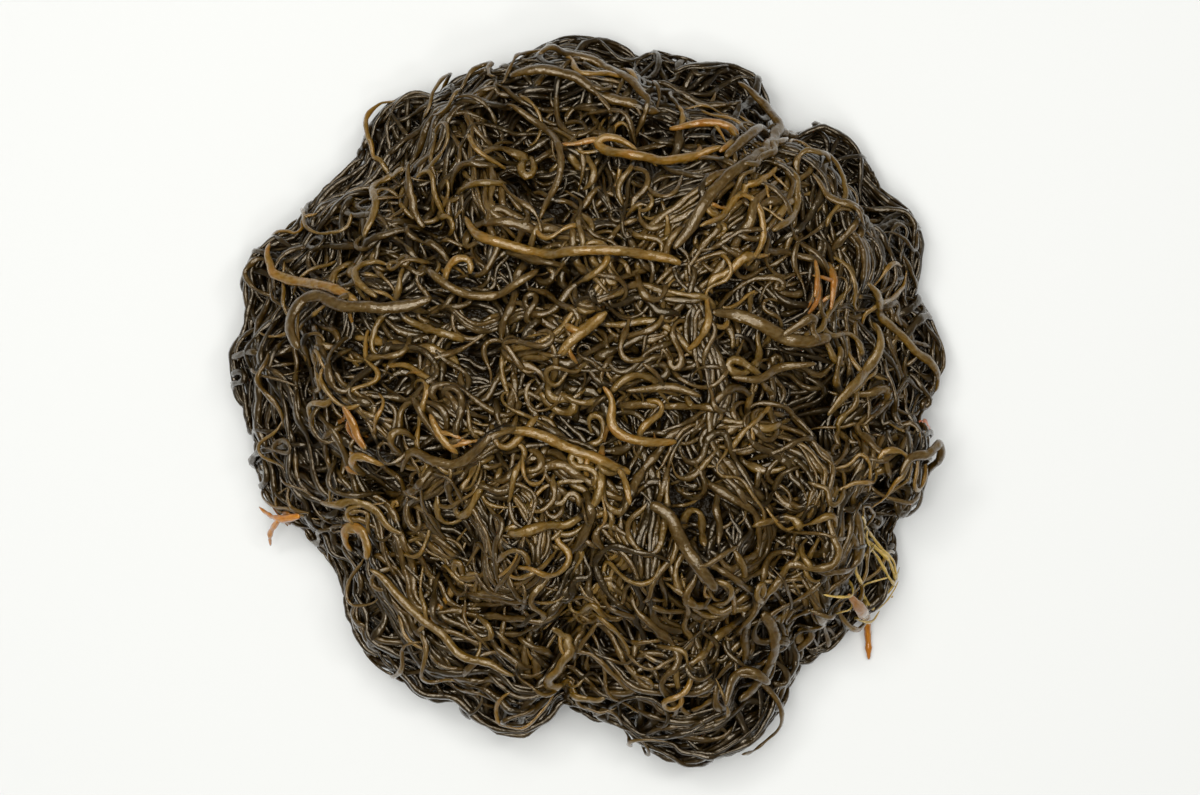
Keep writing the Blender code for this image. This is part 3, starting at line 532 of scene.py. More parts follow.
def lay_locks(heap, rng):
    """Lays every lock of the solid model."""
    for width, flat in under_routes(heap, rng):
        lay_lock(heap, flat, width / 2, UNDER_THICKNESS / 2)
    for n, (width, route) in enumerate(LOCKS):
        if n % SETTLED_EVERY == 0:
            heap.settle()
        flat = heap.under(respaced(through(route), LOCK_STEP), LOCK_THICKNESS / 2, LOCK_STEP)
        lay_lock(heap, flat, width / 2, LOCK_THICKNESS / 2)


def lay_lock(heap, flat, half_width, half_height):
    lift = heap.lay(flat, half_width, half_height, LOCK_LIMPNESS, sunk=True)
    heap.stamp(flat, lift, half_width, half_height, roof=True)


def laid_fronds(heap):
    """Every frond as its colour and its stems, each an unrolled route, its lifts and a radius."""
    heap.settle()
    for radius, colour, *routes in FRONDS:
        stamps = []
        for order, route in enumerate(routes):
            stem_radius = radius * (1.0 if order == 0 else BRANCH)
            plan = respaced(through(route), FROND_STEP)
            rise = stem_radius
            for _ in range(2):
                flat = heap.under(plan, rise, FROND_STEP)
                lift = heap.lay(flat, stem_radius, stem_radius, FROND_LIMPNESS, gap=FROND_GAP)
                rise = (lift - heap.at(heap.level, flat)).mean()
            if order > 0:
                main_flat, main_lift, _ = stamps[0]
                nearest = np.argmin(np.linalg.norm(main_flat - flat[0], axis=1))
                flat[0], lift[0] = main_flat[nearest], main_lift[nearest]
            stamps.append((flat, lift, stem_radius))
        for flat, lift, stem_radius in stamps:
            heap.stamp(flat, lift, stem_radius, stem_radius)
        yield colour, stamps


# How the threads are laid and cut up, in millimetres
STEP = 1.6  # between the points that a thread is laid by
RING_STEP = 1.15
UNDER_RING_STEP = 2.1
MARKED_RING_STEP = RING_STEP * 0.7
FROND_RING_STEP = 0.8
TWIST = 0.12  # radians a millimetre that a thread's grooves wind
SIDES = 6
UNDER_SIDES = 5
FROND_SIDES = 9
PRESS = 0.62  # share of its thickness that keeps a thread off those under it
PROUD = 0.6  # how much farther out the threads that stand out by their colour lie
STAMPED = 0.85  # share of its thickness that it adds to the pile
AFLOAT = 0.95  # share of its thickness that keeps a thread off what the heap stands on
FROND_PRESS = 0.8  # how far a free frond may sink in
LIMPNESS = 3.5  # radius that a thread bends to over what it lies on
STRAY_LIMPNESS = 3.0
CURL_LIMPNESS = 4.0
FREE_LIMPNESS = 6.0
MOST_TURN = 4.6  # radians that a loose end winds round
LEAST_RADIUS = 0.12
MOST_TRIANGLES = 170_000  # of one piece
CORE_AROUND = 160
CORE_DOWN = 56
LEAST_POINTS = 5  # of a thread's own part of its lock
LATE = 0.28  # most of a lock's length that one of its threads starts late or ends early
TAIL_BEND = (5, 14)  # radii that a lock's loose ends bend by
FRESH = 0.88  # tint of the few strays that are rusty
FRESH_SHARE = 0.006
TWIG_TINT = 0.08  # how much lighter a twig is than its thread
LEAST_TWIG = 0.35
FLATTEST = 0.38  # how much a thread's width and height may differ from its mean
RIM_SHADE_FROM = 0.72  # share of the way to the rim from which threads get painted shade
RIM_SHADE_OVER = 0.25  # over what more of that way

# Least and most radius of each kind of thread, and length of its route
INNER_RADII = (0.68, 0.85)
FILLING_RADII, FILLING_LENGTHS = (0.55, 0.8), (20, 60)
LOCK_RADII = (0.6, 0.95)
STRAY_RADII, STRAY_LENGTHS = (0.45, 1.0), (12, 46)
RIM_RADII, RIM_LENGTHS = (0.55, 0.95), (25, 90)
CURL_RADII, CURL_LENGTHS = (0.5, 0.85), (12, 26)
LOOP_RADII, LOOP_LENGTHS = (0.45, 0.75), (12, 30)
TWIG_LENGTHS = (3, 10)

# The columns of a laid thread's table: place in space, the way out, the unrolled route and the lift
PLACE = slice(0, 3)
OUT = slice(3, 6)
ROUTE = slice(6, 8)
LIFT = 8


def running_noise(rng, count, smooth):
    """A random row of numbers of unit size that changes slowly."""
    rough = rng.normal(0, 1, count + 4 * smooth)
    window = np.hanning(2 * smooth + 3)
    soft = np.convolve(rough, window / np.sqrt((window**2).sum()), mode="same")
    return soft[2 * smooth : 2 * smooth + count]


def sideways(heap, base, offset):
    """A route on the unrolled map moved sideways by real distances."""
    ahead = unit(np.gradient(base, axis=0))
    across = np.column_stack([-ahead[:, 1], ahead[:, 0]])
    way = outward(base)
    down = (across * way).sum(axis=1)
    turning = np.column_stack([-way[:, 1], way[:, 0]])
    round_heap = (across * turning).sum(axis=1) * heap.stretch(base)
    return base + (way * down[:, None] + turning * round_heap[:, None]) * offset[:, None]


def curling(rng, start, heading, length, bend_radius):
    """A route that wanders off from start, bending to and fro."""
    count = max(int(length / STEP), 2)
    turned = np.cumsum(running_noise(rng, count, 3)) * STEP / bend_radius
    angle = heading + MOST_TURN * np.tanh(turned / MOST_TURN)
    return start + np.cumsum(ways(angle) * STEP, axis=0)


def on_circle(run, turn):
    return run * np.array([math.cos(turn), math.sin(turn)])


def somewhere(heap, rng, share):
    """A random point of the unrolled map, within a share of the run down the side."""
    turn = rng.uniform(0, 2 * np.pi)
    return on_circle(heap.length * share * math.sqrt(rng.uniform(0, 1)), turn)


def heading_of(line):
    last = line[-1] - line[-3]
    return math.atan2(last[1], last[0])


def bundle(heap, rng, base, width, count, tail, loose, kinks=0.0):
    """Routes of the threads of one lock along a base route on the unrolled map.

    The lock's threads bend together, by kinks, and each strays from it a little, by loose."""
    places = (rng.permutation(count) + rng.uniform(0.2, 0.8, count)) / count - 0.5
    if kinks:
        base = sideways(heap, base, kinks * running_noise(rng, len(base), 3))
    for place in places:
        skip = int(rng.uniform(0, LATE) * len(base))
        stop = len(base) - int(rng.uniform(0, LATE) * len(base))
        part = base[skip:stop]
        if len(part) < LEAST_POINTS:
            part = base
        offset = place * width + loose * running_noise(rng, len(part), 6)
        line = sideways(heap, part, offset)
        after, before = (
            curling(rng, way[-1], heading_of(way), rng.uniform(2, tail), rng.uniform(*TAIL_BEND))
            for way in (line, line[::-1])
        )
        yield np.vstack([before[::-1], line, after])


def held_on(heap, flat):
    """The route kept on the heap's side: nothing runs under it."""
    limit = heap.limit
    run = from_middle(flat)
    last = limit * SLOWED
    kept = np.where(run > limit - last, limit - last * np.exp(-(run - limit + last) / last), run)
    return flat * (kept / np.maximum(run, TINY))[:, None]


def crimped(heap, rng, flat, depth):
    """The route with the small kinks that each thread has of its own."""
    flat = respaced(flat, STEP)
    return sideways(heap, flat, depth * running_noise(rng, len(flat), 2))


def eased(lift, times):
    """The lifts evened out along the thread."""
    for _ in range(times):
        lift[1:-1] = (lift[:-2] + 2 * lift[1:-1] + lift[2:]) / 4
    return lift


def lay_thread(heap, flat, radius, limpness=LIMPNESS, arch=0.0, standing=False):
    """Lays one thread on the pile and gives its table. Its ends are tucked in unless it stands out."""
    flat = respaced(held_on(heap, flat), STEP)
    lift = heap.lay(flat, PRESS * radius, PRESS * radius, limpness)
    lift = eased(lift, 4)
    run = np.arange(len(flat)) * STEP
    if arch:
        lift = lift + arch * np.sin(np.linspace(0, np.pi, len(flat))) ** 2
    if not standing:
        lift = lift - TUCKED * (np.exp(-run / TUCK) + np.exp(-run[::-1] / TUCK))
    return laid(heap, flat, lift, radius, standing)


def laid(heap, flat, lift, radius, standing=False):
    """A thread put down on the pile at its lifts."""
    heap.stamp(flat, lift, STAMPED * radius, STAMPED * radius)
    points, out = heap.placed(flat, lift, radius * AFLOAT)
    if not standing:
        points = drawn_in(heap, points)
    return np.column_stack([points, out, flat, lift + STAMPED * radius])


def drawn_in(heap, points):
    """Points that lie outside the heap's outline brought back close to it."""
    reach = from_middle(points)
    rim = heap.outline(np.arctan2(points[:, 1], points[:, 0]))
    beyond = np.maximum(reach - rim, 0)
    kept = np.where(reach > rim, rim + RIM_ROOM * np.tanh(beyond / RIM_ROOM), reach)
    points[:, :2] *= (kept / np.maximum(reach, TINY))[:, None]
    return points


class Threads:
    """Threads gathered for one or more pieces."""

    def __init__(self, sides, ring_step):
        self.sides = sides
        self.ring_step = ring_step
        self.made = []

    def add(self, rng, line, radius, tint, tips=(0.5, 0.5), lumps=0.17, fade=RIM_PAINTED_SHADE):
        line = respaced(through(line, 4), self.ring_step, columns=3)
        count = len(line)
        uneven = running_noise(rng, count, 1) + 0.35 * running_noise(rng, count, 5)
        radii = radius * (1 + lumps * uneven)
        run = np.arange(count) * self.ring_step
        for tip, away in ((tips[0], run), (tips[1], run[::-1])):
            radii = radii * np.clip(tip + (1 - tip) * away / (4 + 8 * (1 - tip)), 0, 1)
            radii = radii * np.sqrt(np.clip(0.25 + away / (1.4 * radius), 0, 1))
        flat = rng.uniform(0.0, FLATTEST)
        # painted shade: threads towards the rim are painted darker, as the heap's sides turn away from the
        # light above
        run_down = from_middle(line).mean() / RIM
        tint = tint * (1 - fade * np.clip((run_down - RIM_SHADE_FROM) / RIM_SHADE_OVER, 0, 1))
        self.made.append((line, np.maximum(radii, LEAST_RADIUS), tint, flat))

    def triangles(self, thread):
        return 2 * self.sides * (len(thread[0]) - 1) + 2 * (self.sides - 2)

    def pieces(self):
        """The threads in groups small enough for one piece each."""
        group, total = [], 0
        for thread in self.made:
            more = self.triangles(thread)
            if group and total + more > MOST_TRIANGLES:
                yield group
                group, total = [], 0
            group.append(thread)
            total += more
        if group:
            yield group


def in_scene(name, data):
    made = bpy.data.objects.new(name, data)
    bpy.context.scene.collection.objects.link(made)
    return made


def tube_mesh(heap, name, threads, sides):
    """One mesh of closed round tubes, with the numbers per point that their material paints by: the tint,
    which holds painted shade, and the crest, where a painted highlight goes.
    """
    corners, loops, starts = [], [], []
    painted = {"tint": [], "crest_highlight": [], "along": [], "groove_a": [], "groove_b": []}
    first, loop_first = 0, 0
    turn = 2 * np.pi * np.arange(sides) / sides
    ring = np.arange(sides)
    for line, radii, tint, flat in threads:
        points, out = line[:, PLACE], line[:, OUT]
        count = len(points)
        # painted shade: a thread is painted darker the deeper it lies under the pile's top
        depth = heap.at(heap.pile, line[:, ROUTE]) - line[:, LIFT]
        shade = 1 - DEEPEST_SHADE * np.clip(depth / SHADE_DEPTH, 0, 1)
        ahead = unit(np.gradient(points, axis=0))
        across = unit(np.cross(out, ahead))
        up = np.cross(ahead, across)
        wide = (1 + flat) * np.cos(turn)[None, :, None] * across[:, None]
        around = wide + (1 - flat) * np.sin(turn)[None, :, None] * up[:, None]
        corners.append((points[:, None] + around * radii[:, None, None]).reshape(-1, 3))
        low = first + (np.arange(count - 1) * sides)[:, None] + ring
        low_after = first + (np.arange(count - 1) * sides)[:, None] + (ring + 1) % sides
        quads = np.stack([low, low_after, low_after + sides, low + sides], axis=-1).reshape(-1)
        caps = np.concatenate([first + ring[::-1], first + (count - 1) * sides + ring])
        loops.append(np.concatenate([quads, caps]))
        quad_count = (count - 1) * sides
        ends = quad_count * 4 + np.array([0, sides])
        starts.append(loop_first + np.concatenate([np.arange(quad_count) * 4, ends]))
        loop_first += quad_count * 4 + 2 * sides
        first += count * sides
        run = np.linalg.norm(np.diff(points, axis=0), axis=1).sum() * np.linspace(0, 1, count)
        spiral = (turn + TWIST * run[:, None]).ravel()
        # the tint holds the thread's own colour together with the painted shade of its depth and of the rim
        painted["tint"].append(np.repeat(tint * shade, sides))
        # the crest is the side of the thread facing out from the heap, where a painted highlight goes
        painted["crest_highlight"].append(np.tile(np.sin(turn), count))
        painted["along"].append(np.repeat(run + 100 * tint, sides))
        painted["groove_a"].append(np.cos(spiral))
        painted["groove_b"].append(np.sin(spiral))
    corners = np.concatenate(corners) * MM
    corners[:, 2] = np.maximum(corners[:, 2], 0)
    loops = np.concatenate(loops).astype(np.int32)
    starts = np.concatenate(starts).astype(np.int32)
    data = bpy.data.meshes.new(name)
    data.vertices.add(len(corners))
    data.vertices.foreach_set("co", corners.astype(np.float32).ravel())
    data.loops.add(len(loops))
    data.loops.foreach_set("vertex_index", loops)
    data.polygons.add(len(starts))
    data.polygons.foreach_set("loop_start", starts)
    data.update(calc_edges=True)
    data.shade_smooth()
    for field, values in painted.items():
        values = np.concatenate(values).astype(np.float32)
        data.attributes.new(field, "FLOAT", "POINT").data.foreach_set("value", values)
    return in_scene(name, data)


def core_mesh(heap, name):
    """The middle of the heap that shows between the threads, dark as painted shade in the gaps."""
    around, down = CORE_AROUND, CORE_DOWN
    turn = np.linspace(0, 2 * np.pi, around, endpoint=False)
    rings = [[0.0, 0.0]]
    for run in np.linspace(0, heap.length, down + 1)[1:]:
        rings.extend(run * ways(turn))
    flat = np.array(rings)
    corners = heap.placed(flat, heap.at(heap.pile, flat) - CORE_GAP, 0.0)[0] * MM
    faces = [(0, 1 + s, 1 + (s + 1) % around) for s in range(around)]
    for d in range(down - 1):
        low, high = 1 + d * around, 1 + (d + 1) * around
        faces += [(low + s, high + s, high + (s + 1) % around, low + (s + 1) % around) for s in range(around)]
    faces.append(tuple(range(len(corners) - 1, len(corners) - 1 - around, -1)))
    data = bpy.data.meshes.new(name)
    data.from_pydata(corners.tolist(), [], faces)
    data.shade_smooth()
    return in_scene(name, data)


def inner_threads(heap, rng):
    """Threads of the solid model's broad inner locks, with plain coarse tubes."""
    threads = Threads(UNDER_SIDES, UNDER_RING_STEP)
    for width, flat in under_routes_again():
        base = respaced(through(flat), STEP)
        radius = rng.uniform(*INNER_RADII)
        # painted shade: the inner threads, under all the others, are given the darkest tints
        tint = rng.uniform(0.0, 0.16)
        for route in bundle(heap, rng, base, width, int(width / (2 * radius) * 1.2), 14, 1.3, 1.5):
            size = radius * rng.uniform(0.75, 1.2)
            route = crimped(heap, rng, route, rng.uniform(0.1, 0.9))
            threads.add(rng, lay_thread(heap, route, size), size, tint + rng.uniform(-0.05, 0.1))
    return threads


def under_routes_again():
    """The solid model's broad inner locks, found as it finds them."""
    cad = Heap()
    for width, flat in under_routes(cad, np.random.default_rng(SEED)):
        lay_lock(cad, flat, width / 2, UNDER_THICKNESS / 2)
        yield width, flat


def twigs(heap, rng, threads, main, radius, tint, count):
    """Short side branches on a laid thread."""
    flat = main[:, ROUTE]
    for _ in range(count):
        at = int(rng.integers(1, max(len(flat) - 1, 2)))
        way = flat[at] - flat[at - 1]
        heading = math.atan2(way[1], way[0]) + rng.choice([-1, 1]) * rng.uniform(0.4, 1.1)
        size = max(radius * rng.uniform(0.5, 0.75), LEAST_TWIG)
        curl = curling(rng, flat[at], heading, rng.uniform(*TWIG_LENGTHS), rng.uniform(3, 8))
        route = np.vstack([flat[at], curl])
        twig = lay_thread(heap, route, size)
        twig[0, PLACE] = main[at, PLACE]
        threads.add(rng, twig, size, tint + TWIG_TINT, (1.0, rng.uniform(0.2, 0.9)))


def lock_threads(heap, rng):
    """Threads of the locks that can be followed on the heap, and strays between them."""
    threads = Threads(SIDES, RING_STEP)
    for n, (width, route) in enumerate(LOCKS):
        if n % THREADS_SETTLED_EVERY == 0:
            heap.settle()
        base = heap.under(respaced(through(route), STEP), 1.0, STEP)
        radius = rng.uniform(*LOCK_RADII)
        tint = rng.uniform(0.28, 0.62)
        tight = rng.uniform(0.62, 0.95)
        count = int(width * LOCK_DENSITY / (2 * radius))
        loose, kinks, crimp = rng.uniform(0.2, 1.0), rng.uniform(0.3, 1.1), rng.uniform(0.03, 0.4)
        for line in bundle(heap, rng, base, width * tight, count, 16, loose, kinks):
            size = radius * rng.uniform(0.7, 1.25)
            line = crimped(heap, rng, line, crimp)
            if heap.excess(line).mean() > FULL:
                continue
            main = lay_thread(heap, line, size)
            own_tint = tint + rng.normal(0, 0.07)
            threads.add(rng, main, size, own_tint)
            twigs(heap, rng, threads, main, size, own_tint, rng.integers(0, 3))
        for _ in range(STRAYS):
            start = base[rng.integers(len(base))] + rng.normal(0, 5, 2)
            stray(heap, rng, threads, start)
    return threads


def stray(heap, rng, threads, start):
    """One short curly thread."""
    size = rng.uniform(*STRAY_RADII)
    bend = rng.uniform(2.5, 8) + 2 * size if rng.uniform() < 0.6 else rng.uniform(1.5, 3)
    line = curling(rng, start, rng.uniform(0, 2 * np.pi), rng.uniform(*STRAY_LENGTHS), bend)
    line = crimped(heap, rng, line, rng.uniform(0.0, 0.4))
    tint = 0.2 + 0.65 * rng.beta(2.0, 3.0) if rng.uniform() > FRESH_SHARE else FRESH
    arch = rng.uniform(0, 1.0) if rng.uniform() < 0.3 else 0.0
    if heap.excess(line).mean() > FULL:
        return
    main = lay_thread(heap, line, size, STRAY_LIMPNESS, arch)
    threads.add(rng, main, size, tint, rng.uniform(0.2, 1.0, 2))
    twigs(heap, rng, threads, main, size, tint, rng.integers(0, 3))


def filling_threads(heap, rng):
    """Curlier threads where the heap is still bare."""
    threads = Threads(UNDER_SIDES, UNDER_RING_STEP)
    for _ in range(FILLING_BUNDLES):
        bare = np.argwhere(heap.used & (heap.pile < heap.goal - THIN))
        if len(bare) < MOST_THIN * heap.used.sum():
            break
        best = None
        for _ in range(FILLING_TRIES):
            start = heap.side[bare[rng.integers(len(bare))]]
            heading, length = rng.uniform(0, 2 * np.pi), rng.uniform(*FILLING_LENGTHS)
            line = curling(rng, start, heading, length, rng.uniform(6, 16))
            line = line - line[len(line) // 2] + start
            won = (heap.excess(line) < -THIN).mean()
            if best is None or won > best[0]:
                best = won, line
        radius = rng.uniform(*FILLING_RADII)
        # painted shade: the filling threads, low in the pile, are given dark tints
        tint = rng.uniform(0.05, 0.28)
        for route in bundle(heap, rng, best[1], rng.uniform(3, 8), rng.integers(4, 7), 12, 1.0, 0.8):
            size = radius * rng.uniform(0.8, 1.25)
            route = crimped(heap, rng, route, rng.uniform(0.2, 1.0))
            threads.add(rng, lay_thread(heap, route, size), size, tint + rng.normal(0, 0.08))
    return threads


def rim_threads(heap, rng):
    """Threads that run along the heap's rim."""
    threads = Threads(SIDES, RING_STEP)
    for _ in range(RIM_THREADS):
        run = heap.length * rng.uniform(0.6, 0.94)
        count = int(rng.uniform(*RIM_LENGTHS) / STEP)
        start = rng.uniform(0, 2 * np.pi)
        step = STEP * heap.stretch(np.array([[run, 0.0]]))[0] / run
        turn = start + rng.choice([-1, 1]) * step * np.arange(count)
        runs = run + rng.uniform(1, 4) * running_noise(rng, count, 9) + rng.normal(0, 0.1) * np.arange(count)
        line = runs[:, None] * ways(turn)
        size = rng.uniform(*RIM_RADII)
        if heap.excess(held_on(heap, line)).mean() > RIM_FULL:
            continue
        main = lay_thread(heap, crimped(heap, rng, line, rng.uniform(0.05, 0.5)), size)
        tint = rng.uniform(0.25, 0.6)
        threads.add(rng, main, size, tint)
        twigs(heap, rng, threads, main, size, tint, rng.integers(0, 3))
    return threads


def free_threads(heap, rng):
    """Single curly threads on top, small curls, and loops that stand out round the rim."""
    threads = Threads(SIDES, RING_STEP)
    for _ in range(FREE_THREADS):
        stray(heap, rng, threads, somewhere(heap, rng, 0.93))
    for _ in range(SMALL_CURLS):
        start = somewhere(heap, rng, 0.7)
        size = rng.uniform(*CURL_RADII)
        heading, length = rng.uniform(0, 2 * np.pi), rng.uniform(*CURL_LENGTHS)
        line = curling(rng, start, heading, length, rng.uniform(2.2, 4.5))
        main = lay_thread(heap, line, size, CURL_LIMPNESS, rng.uniform(0.5, 2.5))
        threads.add(rng, main, size, rng.uniform(0.35, 0.8), rng.uniform(0.4, 0.9, 2), fade=0)
    for turn in np.linspace(0, 2 * np.pi, RIM_LOOPS, endpoint=False) + rng.uniform(0, 0.05, RIM_LOOPS):
        run = heap.length * rng.uniform(0.66, 0.84)
        size = rng.uniform(*LOOP_RADII)
        heading = turn + rng.choice([-1, 1]) * np.pi / 2 + rng.normal(0, 0.4)
        line = curling(rng, on_circle(run, turn), heading, rng.uniform(*LOOP_LENGTHS), rng.uniform(3, 8))
        main = lay_thread(heap, line, size, CURL_LIMPNESS, rng.uniform(0.5, 2.6), standing=True)
        threads.add(rng, main, size, rng.uniform(0.3, 0.8), rng.uniform(0.3, 0.9, 2), fade=0)
    return threads


def marked_threads(heap, rng):
    """The few threads that stand out by their colour: a pale net, a pink bit, rusty tips."""
    gathered = {}
    for radius, colour, route in MARKED:
        threads = gathered.setdefault(colour, Threads(SIDES, MARKED_RING_STEP))
        base = heap.under(respaced(through(route), STEP), radius, STEP)
        main = lay_thread(heap, base, radius, CURL_LIMPNESS, standing=True)
        main[:, PLACE] += PROUD * main[:, OUT]
        threads.add(rng, main, radius, 0.5, rng.uniform(0.5, 0.9, 2), fade=0)
    for radius, colour, route in HANGING:
        threads = gathered.setdefault(colour, Threads(SIDES, MARKED_RING_STEP))
        points = respaced(through(route), STEP)
        out = points * (1, 1, 0) / np.hypot(points[:, :1], points[:, 1:2])
        beyond = np.full((len(points), 2), SPAN)
        line = np.column_stack([points, out, beyond, points[:, 2]])
        threads.add(rng, line, radius, 0.5, (0.9, 0.6), fade=0)
    return gathered


def fronds(heap, rng, cad_fronds):
    """Each free frond as its colour and its own threads, where the solid model has it."""
    for colour, stems in cad_fronds:
        threads = Threads(FROND_SIDES, FROND_RING_STEP)
        for order, (flat, lift, size) in enumerate(stems):
            line = respaced(through(np.column_stack([flat, lift])), STEP)
            flat, lift = line[:, :2], line[:, 2]
            least = heap.lay(flat, PRESS * size, PRESS * size, FREE_LIMPNESS) - FROND_PRESS
            lift = eased(np.maximum(lift, least), 3)
            main = laid(heap, flat, lift, size, standing=True)
            tint = TINTS[colour] + rng.uniform(-0.04, 0.04)
            threads.add(rng, main, size, tint, rng.uniform(0.4, 0.8, 2), lumps=0.05, fade=0)
            if order == 0:
                twigs(heap, rng, threads, main, size * 0.8, tint, rng.integers(2, 5))
        yield colour, threads


# Where each slot's colour lies along the tint scale
TINTS = {"dark": 0.15, "brown": 0.5, "olive": 0.66, "amber": 0.8, "rust": 0.95}

# Colours of the threads along the tint scale
TINT_SCALE = (
    (0.0, (0.005, 0.0024, 0.0002)),
    (0.25, (0.016, 0.0082, 0.0006)),
    (0.5, (0.052, 0.0260, 0.0014)),
    (0.68, (0.094, 0.0500, 0.0028)),
    (0.82, (0.150, 0.0740, 0.0040)),
    (1.0, (0.225, 0.0780, 0.0060)),
)

# The same on a thread's crest, lighter: a painted highlight of the light above
CREST_HIGHLIGHT_SCALE = (
    (0.0, (0.003, 0.0018, 0.0003)),
    (0.25, (0.020, 0.0130, 0.0030)),
    (0.5, (0.092, 0.0610, 0.0230)),
    (0.68, (0.152, 0.1040, 0.0400)),
    (0.82, (0.210, 0.1320, 0.0420)),
    (1.0, (0.290, 0.1300, 0.0300)),
)

# Colours of what shows in the gaps, over its lumps: nearly black, painted shade
CORE_SHADE_SCALE = ((0.0, (0.004, 0.0022, 0.0004)), (1.0, (0.010, 0.0055, 0.0009)))

# Colours of the few threads that stand out: slot, then at the edges and on the crest, where the colour is a
# painted highlight
MARK_COLOURS = {
    "rusty": ("rust", (0.36, 0.120, 0.004), (0.52, 0.220, 0.020)),
    "pale": ("amber", (0.32, 0.220, 0.040), (0.56, 0.420, 0.160)),
    "pink": ("rust", (0.42, 0.120, 0.060), (0.58, 0.240, 0.150)),
}

# What the shaders of the wet threads, the dark core and the floor are set to
WET_SHADER = {
    "Roughness": 0.35,
    "IOR": 1.45,
    "Specular Tint": (1.0, 0.8, 0.52, 1),
    "Subsurface Weight": 0.08,
    "Subsurface Radius": (1.0, 0.45, 0.08),
    "Subsurface Scale": 0.001,
    "Coat Weight": 1.0,
    "Coat Roughness": 0.11,
    "Coat IOR": 1.4,
}
CORE_SHADER = {"Roughness": 0.3, "Specular IOR Level": 0.15}
FLOOR_SHADER = {"Base Color": (0.67, 0.72, 0.80, 1), "Roughness": 0.6}

# The lights, all aimed at the heap: size, power and place
LIGHT_COLOUR = (1.0, 0.94, 0.82)
LIGHTS = {
    "soft_light": (1.1, 17.0, (-0.1, 0.15, 1.3)),
    "bright_light_0": (0.22, 2.2, (-0.5, 0.5, 1.2)),
    "bright_light_1": (0.22, 2.2, (0.55, 0.25, 1.2)),
    "bright_light_2": (0.22, 2.2, (0.05, -0.6, 1.2)),
    "bright_light_3": (0.22, 2.2, (-0.3, -0.1, 1.4)),
}
STUDIO = {"Color": (1.0, 0.95, 0.87, 1), "Strength": 0.16}
FAR = 4.0  # from the middle of the floor to its edges
EYE = (0.0013, 0.0003, 0.903)  # of the camera, straight above the heap
LENS = 100.0
SENSOR = 36.0
MOTTLE = 0.36  # how much a thread's tint changes over its mottle
GROOVE_RUN = 0.35  # what a millimetre along a thread counts for in its grooves, its radius being 1


def set_inputs(node, values):
    for name, value in values.items():
        node.inputs[name].default_value = value


def new_material(name, values):
    """A material and its shader, with the shader's values set."""
    made = bpy.data.materials.new(name)
    made.use_nodes = True
    shader = made.node_tree.nodes["Principled BSDF"]
    set_inputs(shader, values)
    return made, shader


def number(nodes, name):
    """A number painted on the threads."""
    made = nodes.new("ShaderNodeAttribute")
    made.attribute_name = name
    return made.outputs["Fac"]


def worked(material, operation, *values):
    """A Math node on sockets and numbers."""
    made = material.node_tree.nodes.new("ShaderNodeMath")
    made.operation = operation
    for socket, value in zip(made.inputs, values):
        if isinstance(value, float):
            socket.default_value = value
        else:
            material.node_tree.links.new(value, socket)
    return made.outputs[0]


def ramped(material, factor, scale):
    """A colour read from a scale."""
    made = material.node_tree.nodes.new("ShaderNodeValToRGB")
    stops = made.color_ramp.elements
    for n, (at, colour) in enumerate(scale):
        stop = stops[n] if n < 2 else stops.new(at)
        stop.position = at
        stop.color = (*colour, 1)
    material.node_tree.links.new(factor, made.inputs[0])
    return made.outputs["Color"]


def noise(material, vector, scale, detail):
    made = material.node_tree.nodes.new("ShaderNodeTexNoise")
    set_inputs(made, {"Scale": scale, "Detail": detail})
    material.node_tree.links.new(vector, made.inputs["Vector"])
    return made.outputs["Fac"]


def bumped(material, height, strength, distance, normal=None):
    """The normal that a height gives, on top of another one if there is one."""
    made = material.node_tree.nodes.new("ShaderNodeBump")
    set_inputs(made, {"Strength": strength, "Distance": distance})
    material.node_tree.links.new(height, made.inputs["Height"])
    if normal is not None:
        material.node_tree.links.new(normal, made.inputs["Normal"])
    return made.outputs["Normal"]


